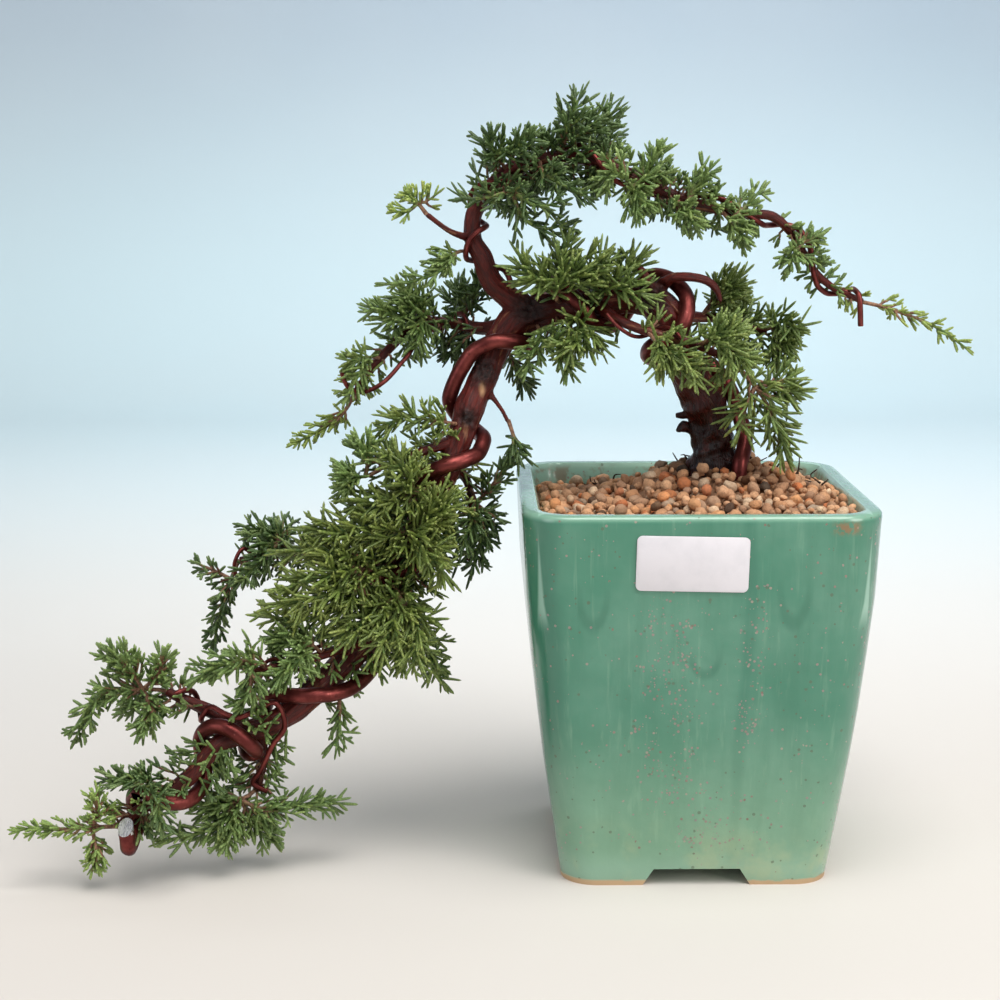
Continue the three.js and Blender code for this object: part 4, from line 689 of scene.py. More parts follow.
def glaze_flow(n, here, bent, front):
    """The green with its drifts, its runs down the wall, two dark stripes of painted reflection down the
    front, and the loops where it stopped.
    """
    x, _, z = n.parts(here)
    drift = n.cloud(here, 0.022, 0.36, 0.66)
    body = n.mix(drift, tint(60, 124, 100), tint(88, 140, 118))
    cloud = n.cloud(here, 0.09, 0.42, 0.7)
    body = n.laid_over(body, cloud, 0.35, tint(66, 128, 104))
    runs = n.cloud(n.stretched(here, 9, 9, 130), 1.0, 0.46, 0.72)
    body = n.laid_over(body, runs, 0.5, tint(50, 114, 90))
    thin_runs = n.cloud(n.stretched(here, 2.6, 2.6, 90), 1.0, 0.55, 0.75)
    body = n.laid_over(body, thin_runs, 0.32, tint(126, 168, 142))
    # Two dark vertical stripes down the front face: painted reflection of dark edges, not glaze colour
    painted_reflection_stripes = n.most(n.band(bent, -50.5, 1.5, 4.0), n.band(bent, 13.8, 0.6, 2.6))
    body = n.laid_over(body, n.times(painted_reflection_stripes, front), 0.55, tint(46, 112, 90))
    # Slow loops where the glaze ran and stopped
    for cx, cz, tall in ((-37, 105, 11), (29.3, 107, 12), (0.5, 84, 7)):
        u = n.calc("DIVIDE", n.calc("SUBTRACT", x, float(cx)), 4.6)
        v = n.calc("DIVIDE", n.calc("SUBTRACT", z, float(cz)), float(tall))
        far = n.calc("SQRT", n.plus(n.calc("POWER", u, 2.0), n.calc("POWER", v, 2.0)))
        off = n.calc("SUBTRACT", far, 1.0)
        ring = n.times(n.band(off, 0.0, 0.06, 0.34), n.fit(v, 0.6, -0.8))
        body = n.laid_over(body, n.times(ring, front), 0.55, tint(40, 104, 82))
    return body


def glaze_ends(n, here, body):
    """Pale where the glaze drew thin, at lip and foot; paler towards the foot partly as painted reflected
    light from below; and paler inside the wall.
    """
    x, y, z = n.parts(here)
    # Paler towards the foot: partly thinner glaze, partly painted light reflected up from the pale surface
    # below
    body = n.mix(n.fit(z, 70.0, 4.0, 0.0, 0.5), body, tint(146, 180, 148))
    high = n.most(n.fit(z, 128.4, 130.4), n.fit(z, 16.0, 3.0, 0.0, 0.8))
    body = n.laid_over(body, high, 0.6, tint(150, 186, 165))
    foot_cloud = n.cloud(here, 0.05, 0.45, 0.65)
    foot = n.times(n.fit(z, 30.0, 4.0), foot_cloud)
    body = n.laid_over(body, foot, 0.5, tint(168, 180, 140))
    # The inside of the wall is paler, with brown marks left by the soil near the lip
    wide = n.most(n.calc("ABSOLUTE", x), n.calc("ABSOLUTE", y))
    inside = n.times(n.fit(wide, 55.3, 54.5), n.fit(z, 90.0, 100.0))
    body = n.laid_over(body, inside, 0.62, tint(168, 206, 188))
    stain = n.cloud(here, 0.16, 0.46, 0.6)
    stain = n.times(n.times(stain, inside), n.band(z, 126.5, 1.6, 3.0))
    body = n.laid_over(body, stain, 0.75, tint(132, 116, 96))
    return body, foot_cloud


def glaze_marks(n, here, bent, front, body):
    """Rust, pink and grey specks in streaks, and pits; how rough they are and where they dip."""
    x, _, z = n.parts(here)
    streaks = n.times(n.band(bent, -12.0, 4.0, 10.0), n.band(z, 66.0, 26.0, 20.0))
    streaks = n.most(streaks, n.times(n.band(bent, 16.5, 2.0, 6.0), n.band(z, 80.0, 18.0, 16.0)))
    streaks = n.most(streaks, n.times(n.band(bent, 2.0, 4.0, 12.0), n.band(z, 24.0, 6.0, 12.0)))
    streaks = n.most(n.times(streaks, front), 0.09)
    tatter = n.cloud(n.stretched(here, 5, 5, 11), 1.0, 0.34, 0.62)
    share = n.times(streaks, n.times(tatter, 1.3))
    fine = n.dots(here, 0.85, share).node
    fine_shade = n.ramp(fine.outputs["Shade"], (0.0, tint(118, 84, 74)), (0.4, tint(150, 122, 120)),
                        (0.7, tint(128, 112, 112)), (1.0, tint(156, 142, 128)))
    body = n.mix(n.times(fine.outputs["Mask"], 0.85), body, fine_shade)
    pit_share = n.fit(tatter, 0.0, 1.0, 0.02, 0.16)
    pits = n.dots(here, 0.36, pit_share).node
    pit_mask = n.times(pits.outputs["Mask"], n.fit(pits.outputs["Shade"], 0.2, 0.5))
    small_pits = n.dots(here, 0.7, 0.07)
    body = n.laid_over(body, small_pits, 0.6, tint(84, 92, 70))
    rust = n.times(n.band(x, 46.0, 1.5, 5.0), n.band(z, 127.0, 0.6, 2.6))
    ragged = n.cloud(here, 0.45, 0.42, 0.55)
    body = n.laid_over(body, n.times(rust, ragged), 0.8, tint(138, 100, 62))
    return body, n.times(fine.outputs["Mask"], 0.5), n.most(small_pits, pit_mask)


def glaze_nodes(n):
    here = n.millimetres()
    x, y, z = n.parts(here)
    front = n.fit(y, -38.0, -44.0)
    wander = n.noise(n.stretched(here, 60, 60, 60), 1.0, 1.0)
    bent = n.plus(x, n.fit(wander, 0.3, 0.7, -2.2, 2.2))
    body, foot_cloud = glaze_ends(n, here, glaze_flow(n, here, bent, front))
    body, rough, pits = glaze_marks(n, here, bent, front, body)
    bare = n.fit(n.plus(z, n.fit(foot_cloud, 0.0, 1.0, -0.5, 0.5)), 1.9, 1.0)
    body = n.mix(bare, body, tint(196, 166, 130))
    normal = n.bump(n.noise(here, 0.055, 2.0), 0.5, 0.0018)
    normal = n.bump(n.noise(here, 0.8, 3.0), 0.12, 0.0003, normal)
    normal = n.bump(n.calc("SUBTRACT", 1.0, pits), 0.35, 0.0003, normal)
    return {"Base Color": body, "Roughness": n.fit(n.most(bare, rough), 0.0, 1.0, 0.24, 0.78),
            "Coat Weight": n.fit(bare, 0.0, 1.0, 0.5, 0.0), "Normal": normal}


def label_nodes(n):
    here = n.millimetres()
    smudge = n.cloud(here, 0.11, 0.4, 0.75)
    body = n.mix(n.times(smudge, 0.6), tint(218, 214, 219), tint(204, 201, 206))
    fibre = n.noise(here, 2.5, 4.0)
    body = n.mix(n.fit(fibre, 0.55, 0.8, 0.0, 0.1), body, tint(200, 202, 204))
    return {"Base Color": body, "Roughness": n.fit(smudge, 0.0, 1.0, 0.34, 0.46),
            "Normal": n.bump(fibre, 0.1, 0.0002)}


def screen_nodes(n):
    here = n.millimetres()
    dust = n.cloud(here, 0.25, 0.45, 0.7)
    body = n.mix(dust, tint(34, 36, 40), tint(66, 60, 54))
    grain = n.noise(here, 3.0, 4.0)
    return {"Base Color": body, "Roughness": n.fit(dust, 0.0, 1.0, 0.45, 0.8),
            "Normal": n.bump(grain, 0.2, 0.0002)}


def soil_nodes(n):
    here = n.millimetres()
    kind, shade, humus = n.parts(n.attribute("stone"))
    body = n.ramp(kind, (0.0, tint(208, 156, 116)), (0.25, tint(224, 176, 136)),
                  (0.45, tint(196, 150, 116)), (0.62, tint(172, 140, 114)), (0.74, tint(222, 158, 106)),
                  (0.8, tint(204, 118, 72)), (0.86, tint(160, 144, 126)), (1.0, tint(236, 202, 166)))
    # Each granule darker by its own shade value; those of the lower layer darker still, as painted shade
    body = n.mix(n.fit(shade, 0.0, 1.0, 0.42, 0.0), body, tint(140, 94, 64))
    mottled = n.cloud(here, 0.9, 0.42, 0.66)
    body = n.laid_over(body, mottled, 0.4, tint(146, 104, 78))
    dots = n.dots(here, 1.9, 0.22)
    body = n.laid_over(body, dots, 0.5, tint(96, 70, 56))
    body = n.mix(humus, body, tint(38, 28, 22))
    grain = n.noise(here, 2.2, 6.0, Roughness=0.7)
    lumps = n.noise(here, 0.7, 2.0)
    normal = n.bump(grain, 0.5, 0.0005, n.bump(lumps, 0.5, 0.0009))
    return {"Base Color": body, "Roughness": n.fit(grain, 0.3, 0.7, 0.78, 0.96),
            "Normal": normal}


def bark_nodes(n):
    grain = n.attribute("grain")
    scar, dark_foot, flake = n.parts(n.attribute("marks"))
    here = n.millimetres()
    fibre = n.noise(grain, 1.25, 7.0, Roughness=0.66, Distortion=0.5)
    body = n.ramp(fibre, (0.28, tint(36, 8, 6)), (0.44, tint(74, 17, 11)), (0.56, tint(94, 26, 18)),
                  (0.68, tint(110, 38, 28)), (0.84, tint(138, 74, 56)))
    broad = n.cloud(here, 0.07, 0.4, 0.66)
    body = n.laid_over(body, broad, 0.5, tint(66, 14, 9))
    cracks = n.put("TexVoronoi", {"Vector": n.stretched(grain, 2.6, 2.6, 1.4), "Scale": 1.0,
                                  "Randomness": 1.0}, feature="DISTANCE_TO_EDGE", out="Distance")
    gap = n.fit(cracks, 0.1, 0.0)
    body = n.laid_over(body, gap, 0.45, tint(34, 12, 10))
    peel = n.cloud(n.stretched(grain, 3.0, 3.0, 2.2), 1.0, 0.6, 0.68)
    body = n.laid_over(body, peel, 0.4, tint(180, 126, 90))
    body = n.mix(flake, body, tint(196, 152, 112))
    lumps = n.noise(here, 0.9, 5.0, Roughness=0.7)
    cut = n.ramp(lumps, (0.35, tint(12, 4, 4)), (0.6, tint(44, 16, 12)), (0.75, tint(104, 56, 42)))
    body = n.mix(scar, body, cut)
    # The foot of the trunk is made near black and glossier, darker towards the soil
    dark_foot_colour = n.ramp(fibre, (0.35, tint(8, 3, 3)), (0.6, tint(30, 8, 6)), (0.74, tint(70, 20, 14)))
    # Small reddish patches on the near-black foot: painted light, lit spots where light reaches it
    painted_lit_spots = n.cloud(here, 0.28, 0.52, 0.68)
    dark_foot_colour = n.laid_over(dark_foot_colour, painted_lit_spots, 0.45, tint(92, 24, 15))
    body = n.laid_over(body, dark_foot, 0.9, dark_foot_colour)
    height = n.plus(fibre, n.times(cracks, 0.8))
    height = n.plus(height, n.times(n.times(lumps, scar), 1.4))
    return {"Base Color": body, "Roughness": n.calc("SUBTRACT", n.fit(fibre, 0.3, 0.7, 0.34, 0.56),
                                                   n.times(dark_foot, 0.2)),
            "Normal": n.bump(height, 0.5, 0.0010)}


def twig_nodes(n):
    here = n.millimetres()
    outward = n.parts(n.attribute("leaf"))[2]
    fleck = n.cloud(here, 0.8, 0.4, 0.6)
    wood = n.mix(fleck, tint(106, 72, 56), tint(150, 112, 88))
    green = n.mix(fleck, tint(70, 98, 46), tint(112, 130, 66))
    body = n.mix(n.fit(n.plus(outward, n.fit(fleck, 0.0, 1.0, -0.08, 0.08)), 0.3, 0.5), wood, green)
    return {"Base Color": body, "Roughness": n.fit(fleck, 0.0, 1.0, 0.5, 0.7),
            "Normal": n.bump(fleck, 0.3, 0.0003)}


def wire_nodes(n):
    here = n.millimetres()
    patch = n.cloud(here, 0.16, 0.38, 0.68)
    body = n.mix(patch, tint(98, 42, 40), tint(130, 62, 58))
    # Pale pinkish patches laid over the wire: painted highlight
    painted_highlight = n.cloud(here, 0.6, 0.62, 0.74)
    body = n.laid_over(body, painted_highlight, 0.35, tint(188, 118, 108))
    nicks = n.dots(here, 0.5, 0.12)
    body = n.laid_over(body, nicks, 0.5, tint(70, 30, 28))
    dull = n.noise(here, 0.5, 4.0)
    return {"Base Color": body, "Roughness": n.fit(dull, 0.3, 0.7, 0.32, 0.48),
            "Normal": n.bump(dull, 0.15, 0.0004)}


def cut_nodes(n):
    here = n.millimetres()
    drag = n.noise(n.stretched(here, 0.25, 2, 2), 1.0, 3.0)
    return {"Base Color": n.mix(drag, tint(226, 218, 222), tint(252, 250, 252)),
            "Roughness": n.fit(drag, 0.3, 0.7, 0.2, 0.4)}


# Rings of scales along a leaf, then its colour at the root, along it, at the tip, and when fresh
LEAF_COLOURS = {
    "old_leaves": (34.0, (36, 50, 26), (78, 98, 54), (132, 150, 98), (156, 168, 112)),
    "green_leaves": (32.0, (52, 66, 32), (112, 132, 74), (168, 182, 118), (188, 198, 130)),
    "young_leaves": (24.0, (86, 106, 48), (146, 164, 92), (188, 200, 124), (206, 214, 136)),
}


def leaf_nodes(scales, root, body, tip, fresh):
    def build(n):
        made = n.use(leaf_colour, {"Root": root, "Body": body, "Tip": tip, "Fresh": fresh,
                                   "Scales": scales}).node
        return {"Base Color": made.outputs["Color"], "Normal": n.bump(made.outputs["Height"], 0.25, 0.0002)}
    return build


def floor_nodes(n):
    x, y, z = n.parts(n.put("TexCoord", out="Object"))
    back = n.fit(y, -0.1, 1.3)
    body = n.ramp(back, (0.0, tint(216, 209, 203)), (0.3, tint(218, 218, 216)), (0.75, tint(220, 235, 240)),
                  (1.0, tint(222, 243, 250)))
    body = n.mix(n.fit(z, 0.04, 0.46), body, tint(184, 198, 211))
    # Painted shade: the sweep a little darker towards the left
    shade = n.mix(1.0, body, tint(244, 243, 242), "MULTIPLY")
    body = n.mix(n.fit(x, 0.4, -0.5), body, shade)
    cloth = n.noise(n.put("TexCoord", out="Object"), 3.0, 2.0)
    return {"Base Color": n.mix(n.fit(cloth, 0.3, 0.7, 0.0, 0.1), body, tint(226, 226, 226))}


GLAZE = material("sea_green_glaze", glaze_nodes, Coat_Roughness=0.07, IOR=1.5)
PAPER = material("label_paper", label_nodes, Specular_IOR_Level=0.45)
PLASTIC = material("drain_screen_plastic", screen_nodes)
GRANULES = material("soil_granules", soil_nodes, Specular_IOR_Level=0.25)
BARK = material("juniper_bark", bark_nodes, Specular_IOR_Level=0.32)
TWIG = material("young_twig", twig_nodes, Specular_IOR_Level=0.35)
COPPER = material("anodised_wire", wire_nodes, Metallic=0.85)
CUT_COPPER = material("cut_wire_end", cut_nodes, Metallic=0.9)
LEAVES = [material(name, leaf_nodes(scales, *(tint(*colour) for colour in colours)), Roughness=0.42,
                   Specular_IOR_Level=0.42) for name, (scales, *colours) in LEAF_COLOURS.items()]
FLOOR = material("pale_floor", floor_nodes, Roughness=0.85, Specular_IOR_Level=0.2)


# Making meshes

def choose(*objects):
    """Leaves only these objects selected, the first one active."""
    bpy.ops.object.select_all(action="DESELECT")
    for obj in objects:
        obj.select_set(True)
    bpy.context.view_layer.objects.active = objects[0]


def coat(obj, *materials):
    """Gives the object these materials in place of any it has."""
    obj.data.materials.clear()
    for each in materials:
        obj.data.materials.append(each)


def settle(obj, name, *materials):
    """Gives a finished piece its name and finish, with its place in its mesh."""
    choose(obj)
    bpy.ops.object.transform_apply(location=True, rotation=True, scale=True)
    obj.name = obj.data.name = name
    coat(obj, *materials)


def hand_over(obj, slot, *nodes):
    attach(obj, "root")
    if nodes:
        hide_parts(*nodes)


def new_mesh(name, points, faces):
    """Points in metres and equal-sided faces, as an object."""
    mesh = bpy.data.meshes.new(name)
    sides = faces.shape[1]
    mesh.vertices.add(len(points))
    mesh.vertices.foreach_set("co", points.astype(np.float32).ravel())
    mesh.loops.add(faces.size)
    mesh.loops.foreach_set("vertex_index", faces.astype(np.int32).ravel())
    mesh.polygons.add(len(faces))
    mesh.polygons.foreach_set("loop_start", np.arange(0, faces.size, sides, dtype=np.int32))
    mesh.update(calc_edges=True)
    mesh.shade_smooth()
    return put_in_scene(name, mesh)


def set_vectors(mesh, name, rows):
    layer = mesh.attributes.new(name, "FLOAT_VECTOR", "POINT")
    layer.data.foreach_set("vector", np.asarray(rows, np.float32).ravel())


def vertices_of(mesh):
    out = np.empty(len(mesh.vertices) * 3)
    mesh.vertices.foreach_get("co", out)
    return out.reshape(-1, 3)


def tubes(name, lines, resolution, caps=True):
    """Round bars along rows of x, y, z and radius, drawn as bevelled curves and made a mesh."""
    data = bpy.data.curves.new(name, "CURVE")
    data.dimensions, data.bevel_depth, data.bevel_resolution = "3D", MM, resolution
    data.use_fill_caps = caps
    for line in lines:
        spline = data.splines.new("POLY")
        spline.points.add(len(line) - 1)
        rows = np.ones((len(line), 4))
        rows[:, :3] = line[:, :3] * MM + np.array(PLACE)
        spline.points.foreach_set("co", rows.ravel())
        spline.points.foreach_set("radius", line[:, 3])
    obj = put_in_scene(name, data)
    choose(obj)
    bpy.ops.object.convert(target="MESH")
    return obj


def face_outward():
    """Turns every face of the mesh under work to the outside."""
    bpy.ops.mesh.select_all(action="SELECT")
    bpy.ops.mesh.normals_make_consistent(inside=False)


def with_radius(line, radii):
    return np.column_stack([line[:, :3], np.broadcast_to(radii, len(line))])


# Pot and label

def extrude_to(stations, height, width):
    """Draws the selected face along heights and half widths."""
    for z, w in stations:
        bpy.ops.mesh.extrude_region_move(TRANSFORM_OT_translate={"value": (0, 0, (z - height) * MM)})
        bpy.ops.transform.resize(value=(w / width, w / width, 1), center_override=PLACE)
        height, width = z, w
    return height, width


def rounded_block(half, corner, low, stations):
    bpy.ops.object.select_all(action="DESELECT")
    bpy.ops.mesh.primitive_plane_add(size=2 * half * MM, location=PLACE + Vector((0, 0, low * MM)))
    block = bpy.context.object
    bpy.ops.object.mode_set(mode="EDIT")
    bpy.ops.mesh.select_all(action="SELECT")
    bpy.ops.mesh.bevel(offset=corner * MM, segments=10, affect="VERTICES")
    bpy.ops.mesh.select_all(action="SELECT")
    end = extrude_to(stations, low, half)
    return block, end


def cut_away(body, cutter):
    cut = body.modifiers.new("cut", "BOOLEAN")
    cut.operation, cut.solver, cut.object = "DIFFERENCE", "EXACT", cutter
    choose(body)
    bpy.ops.object.modifier_apply(modifier="cut")
    bpy.data.objects.remove(cutter)


def make_pot():
    half = POT_OUTER[0][1]
    pot, (height, width) = rounded_block(half, CORNER_OUTER * half / 60, 0, POT_OUTER[1:])
    for inward, up in POT_LIP:
        bpy.ops.mesh.inset(thickness=inward * MM, depth=0)
        bpy.ops.transform.translate(value=(0, 0, up * MM))
        height, width = height + up, width - inward
    extrude_to(POT_INNER, height, width)
    face_outward()
    bpy.ops.object.mode_set(mode="OBJECT")

    bpy.ops.object.select_all(action="DESELECT")
    bpy.ops.mesh.primitive_cylinder_add(vertices=48, radius=DRAIN_RADIUS * MM, depth=0.02,
                                        location=PLACE + Vector((0, 0, 0.009)))
    cut_away(pot, bpy.context.object)
    under = half - FOOT["width"]
    recess, _ = rounded_block(under, 6, -1, [(FOOT["height"], under)])
    face_outward()
    bpy.ops.object.mode_set(mode="OBJECT")
    cut_away(pot, recess)
    for turn in (0, 90):
        bpy.ops.object.select_all(action="DESELECT")
        low_middle = PLACE + Vector((0, 0, (FOOT["height"] / 2 - 0.5) * MM))
        bpy.ops.mesh.primitive_cube_add(size=1, location=low_middle,
                                        rotation=(0, 0, math.radians(turn)))
        notch = bpy.context.object
        tall = (FOOT["height"] + 1) * MM
        slope = (FOOT["notch_low"] - FOOT["notch_high"]) / FOOT["height"]
        low = FOOT["notch_low"] + slope
        notch.scale = (low * MM, 0.12, tall)
        bpy.ops.object.transform_apply(location=False, rotation=False, scale=True)
        for v in notch.data.vertices:
            if v.co.z > 0:
                v.co.x *= FOOT["notch_high"] / low
        cut_away(pot, notch)
    soften = pot.modifiers.new("soften", "BEVEL")
    soften.width, soften.segments, soften.limit_method = 0.7 * MM, 3, "ANGLE"
    soften.angle_limit = math.radians(50)
    choose(pot)
    bpy.ops.object.modifier_apply(modifier="soften")
    bpy.ops.object.shade_smooth_by_angle(angle=math.radians(38))
    settle(pot, "glazed_pot", GLAZE)
    hand_over(pot, "glaze", "pot")


def make_label():
    wide, tall = LABEL["right"] - LABEL["left"], LABEL["high"] - LABEL["low"]
    wall = dict(POT_OUTER)
    below, above = 101, 126
    slope = (wall[above] - wall[below]) / (above - below)
    lean = math.atan(slope)
    middle = (LABEL["low"] + LABEL["high"]) / 2
    depth = wall[below] + (middle - below) * slope + GAP
    place = PLACE + Vector(((LABEL["left"] + LABEL["right"]) / 2, -depth, middle)) * MM
    bpy.ops.object.select_all(action="DESELECT")
    bpy.ops.mesh.primitive_plane_add(size=1, location=place,
                                     rotation=(math.radians(90) + lean, math.radians(LABEL["tilt"]), 0))
    label = bpy.context.object
    label.scale = (wide * MM, tall * MM, 1)
    bpy.ops.object.transform_apply(location=False, rotation=False, scale=True)
    bpy.ops.object.mode_set(mode="EDIT")
    bpy.ops.mesh.select_all(action="SELECT")
    bpy.ops.mesh.bevel(offset=LABEL["corner"] * MM, segments=8, affect="VERTICES")
    bpy.ops.mesh.select_all(action="SELECT")
    out = Vector((0, -math.cos(lean), -math.sin(lean))) * LABEL["thick"] * MM
    bpy.ops.mesh.extrude_region_move(TRANSFORM_OT_translate={"value": out})
    bpy.ops.mesh.inset(thickness=0.1 * MM, depth=0)
    bpy.ops.transform.translate(value=out * 0.15)
    face_outward()
    bpy.ops.object.mode_set(mode="OBJECT")
    bpy.ops.object.shade_smooth_by_angle(angle=math.radians(60))
    settle(label, "blank_label", PAPER)
    hand_over(label, "label", "label")


# Soil

def stone_shapes(rng):
    """A few granules, each a rounded lump pressed into blunt facets."""
    shapes = []
    for _ in range(6):
        bpy.ops.object.select_all(action="DESELECT")
        bpy.ops.mesh.primitive_ico_sphere_add(subdivisions=2, radius=1)
        stone = bpy.context.object
        bpy.ops.object.mode_set(mode="EDIT")
        for _ in range(5):
            way = unit(rng.normal(size=3))
            bpy.ops.mesh.select_all(action="DESELECT")
            bpy.ops.object.mode_set(mode="OBJECT")
            reach = 0.62 + 0.2 * rng.random()
            for v in stone.data.vertices:
                v.select = v.co.dot(Vector(way)) > reach
            bpy.ops.object.mode_set(mode="EDIT")
            bpy.ops.transform.translate(value=Vector(-way) * 0.16)
        bpy.ops.mesh.select_all(action="SELECT")
        sizes = rng.uniform(0.95, 1.2), rng.uniform(0.76, 1.0), rng.uniform(0.66, 0.86)
        bpy.ops.transform.resize(value=sizes)
        bpy.ops.object.mode_set(mode="OBJECT")
        shapes.append((vertices_of(stone.data), np.array([p.vertices[:] for p in stone.data.polygons])))
        bpy.data.objects.remove(stone)
    return shapes


def scatter(rng, half, sizes, closeness, tries):
    """Middles and sizes of granules that lie side by side in the pot's rounded square."""
    found = np.empty((0, 3))
    for _ in range(tries):
        r = rng.choice(sizes)
        x, y = rng.uniform(-half + r, half - r, 2)
        cx, cy = max(0, abs(x) - half + SOIL_CORNER), max(0, abs(y) - half + SOIL_CORNER)
        if math.hypot(cx, cy) > SOIL_CORNER - r:
            continue
        if math.hypot(x - TRUNK_FOOT["x"], y - TRUNK_FOOT["y"]) < TRUNK_FOOT["radius"] + r * 0.5:
            continue
        if math.hypot(x - WIRE_FOOT["x"], y - WIRE_FOOT["y"]) < WIRE_FOOT["radius"] + r * 0.7:
            continue
        if len(found) and (np.hypot(found[:, 0] - x, found[:, 1] - y)
                           < closeness * (found[:, 2] + r)).any():
            continue
        found = np.vstack([found, (x, y, r)])
    return found


def turned(rng, count):
    """Random turns as matrices."""
    q = unit(rng.normal(size=(count, 4)))
    w, x, y, z = q.T
    return np.stack([np.stack([1 - 2 * (y * y + z * z), 2 * (x * y - z * w), 2 * (x * z + y * w)], -1),
                     np.stack([2 * (x * y + z * w), 1 - 2 * (x * x + z * z), 2 * (y * z - x * w)], -1),
                     np.stack([2 * (x * z - y * w), 2 * (y * z + x * w), 1 - 2 * (x * x + y * y)], -1)], -2)


def lay_granules(rng):
    """Loose granules in layers, browner with humus near the trunk."""
    shapes = stone_shapes(rng)
    layers = [(scatter(rng, *layer), lift) for *layer, lift in GRANULE_LAYERS]
    points, faces, stone = [], [], []
    count = 0
    for rows, lift in layers:
        turns = turned(rng, len(rows))
        for (x, y, r), turn in zip(rows, turns):
            shape, sides = shapes[rng.randint(len(shapes))]
            z = soil_top(x, y) + lift - 0.35 * r + rng.uniform(-0.4, 0.4)
            if lift > 2:
                z = soil_top(x, y) + 1.6 + 0.3 * r
            points.append(shape @ turn.T * r * (1, 1, 0.92) + (x, y, z))
            faces.append(sides + count)
            near = math.hypot(x - TRUNK_FOOT["x"], y - 1)
            humus = np.clip(1.25 - (near - 9) / 6, 0, 1) * rng.uniform(0.2, 1)
            humus = humus + (rng.random() < 0.035) * 0.8
            # The lower layer lies under the others and is made darker: painted shade between the granules
            kind, shade = rng.random(), rng.random() * (0.5 if lift < 0 else 1)
            stone.append(np.tile((kind, shade, min(humus, 0.95)), (len(shape), 1)))
            count += len(shape)
    granules = new_mesh("granules", np.vstack(points) * MM + np.array(PLACE), np.vstack(faces))
    set_vectors(granules.data, "stone", np.vstack(stone))
    return granules


def lay_bed():
    """The fill under the granules: the CAD soil, its top let down a little."""
    bed = put_in_scene("soil_bed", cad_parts["soil"].data.copy())
    choose(bed)
    bpy.ops.object.mode_set(mode="EDIT")
    bpy.ops.mesh.select_all(action="SELECT")
    bpy.ops.mesh.remove_doubles(threshold=1e-6)
    bpy.ops.object.mode_set(mode="OBJECT")
    rows = vertices_of(bed.data)
    rows[rows[:, 2] > BED["top_over"] * MM, 2] -= BED["let_down"] * MM
    bed.data.vertices.foreach_set("co", rows.ravel())
    bed.data.update()
    set_vectors(bed.data, "stone", np.tile((0.55, 0.1, 0.35), (len(rows), 1)))
    return bed


def lay_dead_roots(rng):
    """Bits of dead root and twig on the granules."""
    bits = []
    for x, y, wide, tall, many in DEAD_ROOTS:
        for _ in range(many):
            a = np.array([x + rng.normal() * wide * 0.25, y + rng.normal() * 3, 0])
            way = unit(np.array([rng.normal(), rng.normal() * 0.6, 0.25 + 0.6 * rng.random()]))
            a[2] = soil_top(a[0], a[1]) + 1.2
            reach = tall * rng.uniform(0.5, 1.2)
            bow = rng.normal(size=3) * 1.2
            line = smooth([a, a + way * reach * 0.5 + bow, a + way * reach + bow * 0.3], 1.0)
            line[:, 2] = np.maximum(line[:, 2], soil_top(line[:, 0], line[:, 1]) + 0.8)
            inside = np.maximum(np.abs(line[:, 0]), np.abs(line[:, 1])) < 52
            if inside.all():
                bits.append(with_radius(line, np.linspace(0.42, 0.16, len(line))))
    roots = tubes("dead_roots", bits, 1)
    set_vectors(roots.data, "stone", np.tile((0.6, 0.2, 0.93), (len(roots.data.vertices), 1)))
    return roots


def make_soil():
    rng = np.random.RandomState(SOIL_SEED)
    granules, bed = lay_granules(rng), lay_bed()
    roots = lay_dead_roots(rng)
    for piece in (granules, bed, roots):
        coat(piece, GRANULES)
    choose(granules, bed, roots)
    bpy.ops.object.join()
    settle(granules, "granular_soil", GRANULES)
    hand_over(granules, "soil", "soil")


# Trunk and branches

def bark_places(points):
    """For points on the wood: place round and along the branch they lie on, in millimetres."""
    starts, ends, radii, sides, fronts, runs = [], [], [], [], [], []
    run = 0
    for line in WOOD.values():
        path = smooth(line, 3)
        steps = np.diff(path[:, :3], axis=0)
        heading = unit(steps)
        side = unit(np.cross(heading[0], (0.2, 1.0, 0.1)))
        for k, t in enumerate(heading):
            side = unit(side - t * (side @ t))
            starts.append(path[k, :3])
            ends.append(path[k + 1, :3])
            radii.append(path[k, 3])
            sides.append(side)
            fronts.append(np.cross(t, side))
            runs.append(run)
            run += np.linalg.norm(steps[k])
        run += 37
    starts, ends, radii = np.array(starts), np.array(ends), np.array(radii)
    sides, fronts, runs = np.array(sides), np.array(fronts), np.array(runs)
    ab = ends - starts
    grain = np.empty_like(points)
    for k in range(0, len(points), 4000):
        part = points[k:k + 4000]
        off = part[:, None] - starts
        t = np.clip((off * ab).sum(-1) / (ab * ab).sum(-1), 0, 1)
        away = off - t[..., None] * ab
        near = (np.linalg.norm(away, axis=-1) - radii).argmin(axis=1)
        rows = np.arange(len(part))
        out = away[rows, near]
        turn = np.arctan2((out * fronts[near]).sum(-1), (out * sides[near]).sum(-1))
        along = runs[near] + t[rows, near] * np.linalg.norm(ab[near], axis=-1)
        turn += along * 0.012
        r = radii[near]
        grain[k:k + 4000] = np.column_stack([np.cos(turn) * r, np.sin(turn) * r, along * 0.15])
    return grain


def wood_lines():
    """The middle line and radius of all the wood, the trunk swelling and thinning a little."""
    lines = []
    for name, line in WOOD.items():
        path = smooth(line, 1.5)
        if name == "trunk":
            k = np.arange(len(path))
            path[:, 3] *= 1 + 0.05 * np.sin(k * 0.31) + 0.04 * np.sin(k * 0.83)
        lines.append(path)
    return lines


def scar_share(points):
    """How far each point lies in an old cut or knot, 0 to 1."""
    scar = np.zeros(len(points))
    for *middle, reach in SCARS:
        far = np.linalg.norm(points - middle, axis=1)
        scar = np.maximum(scar, np.clip(1.6 - far / reach * 1.6, 0, 1))
    return scar


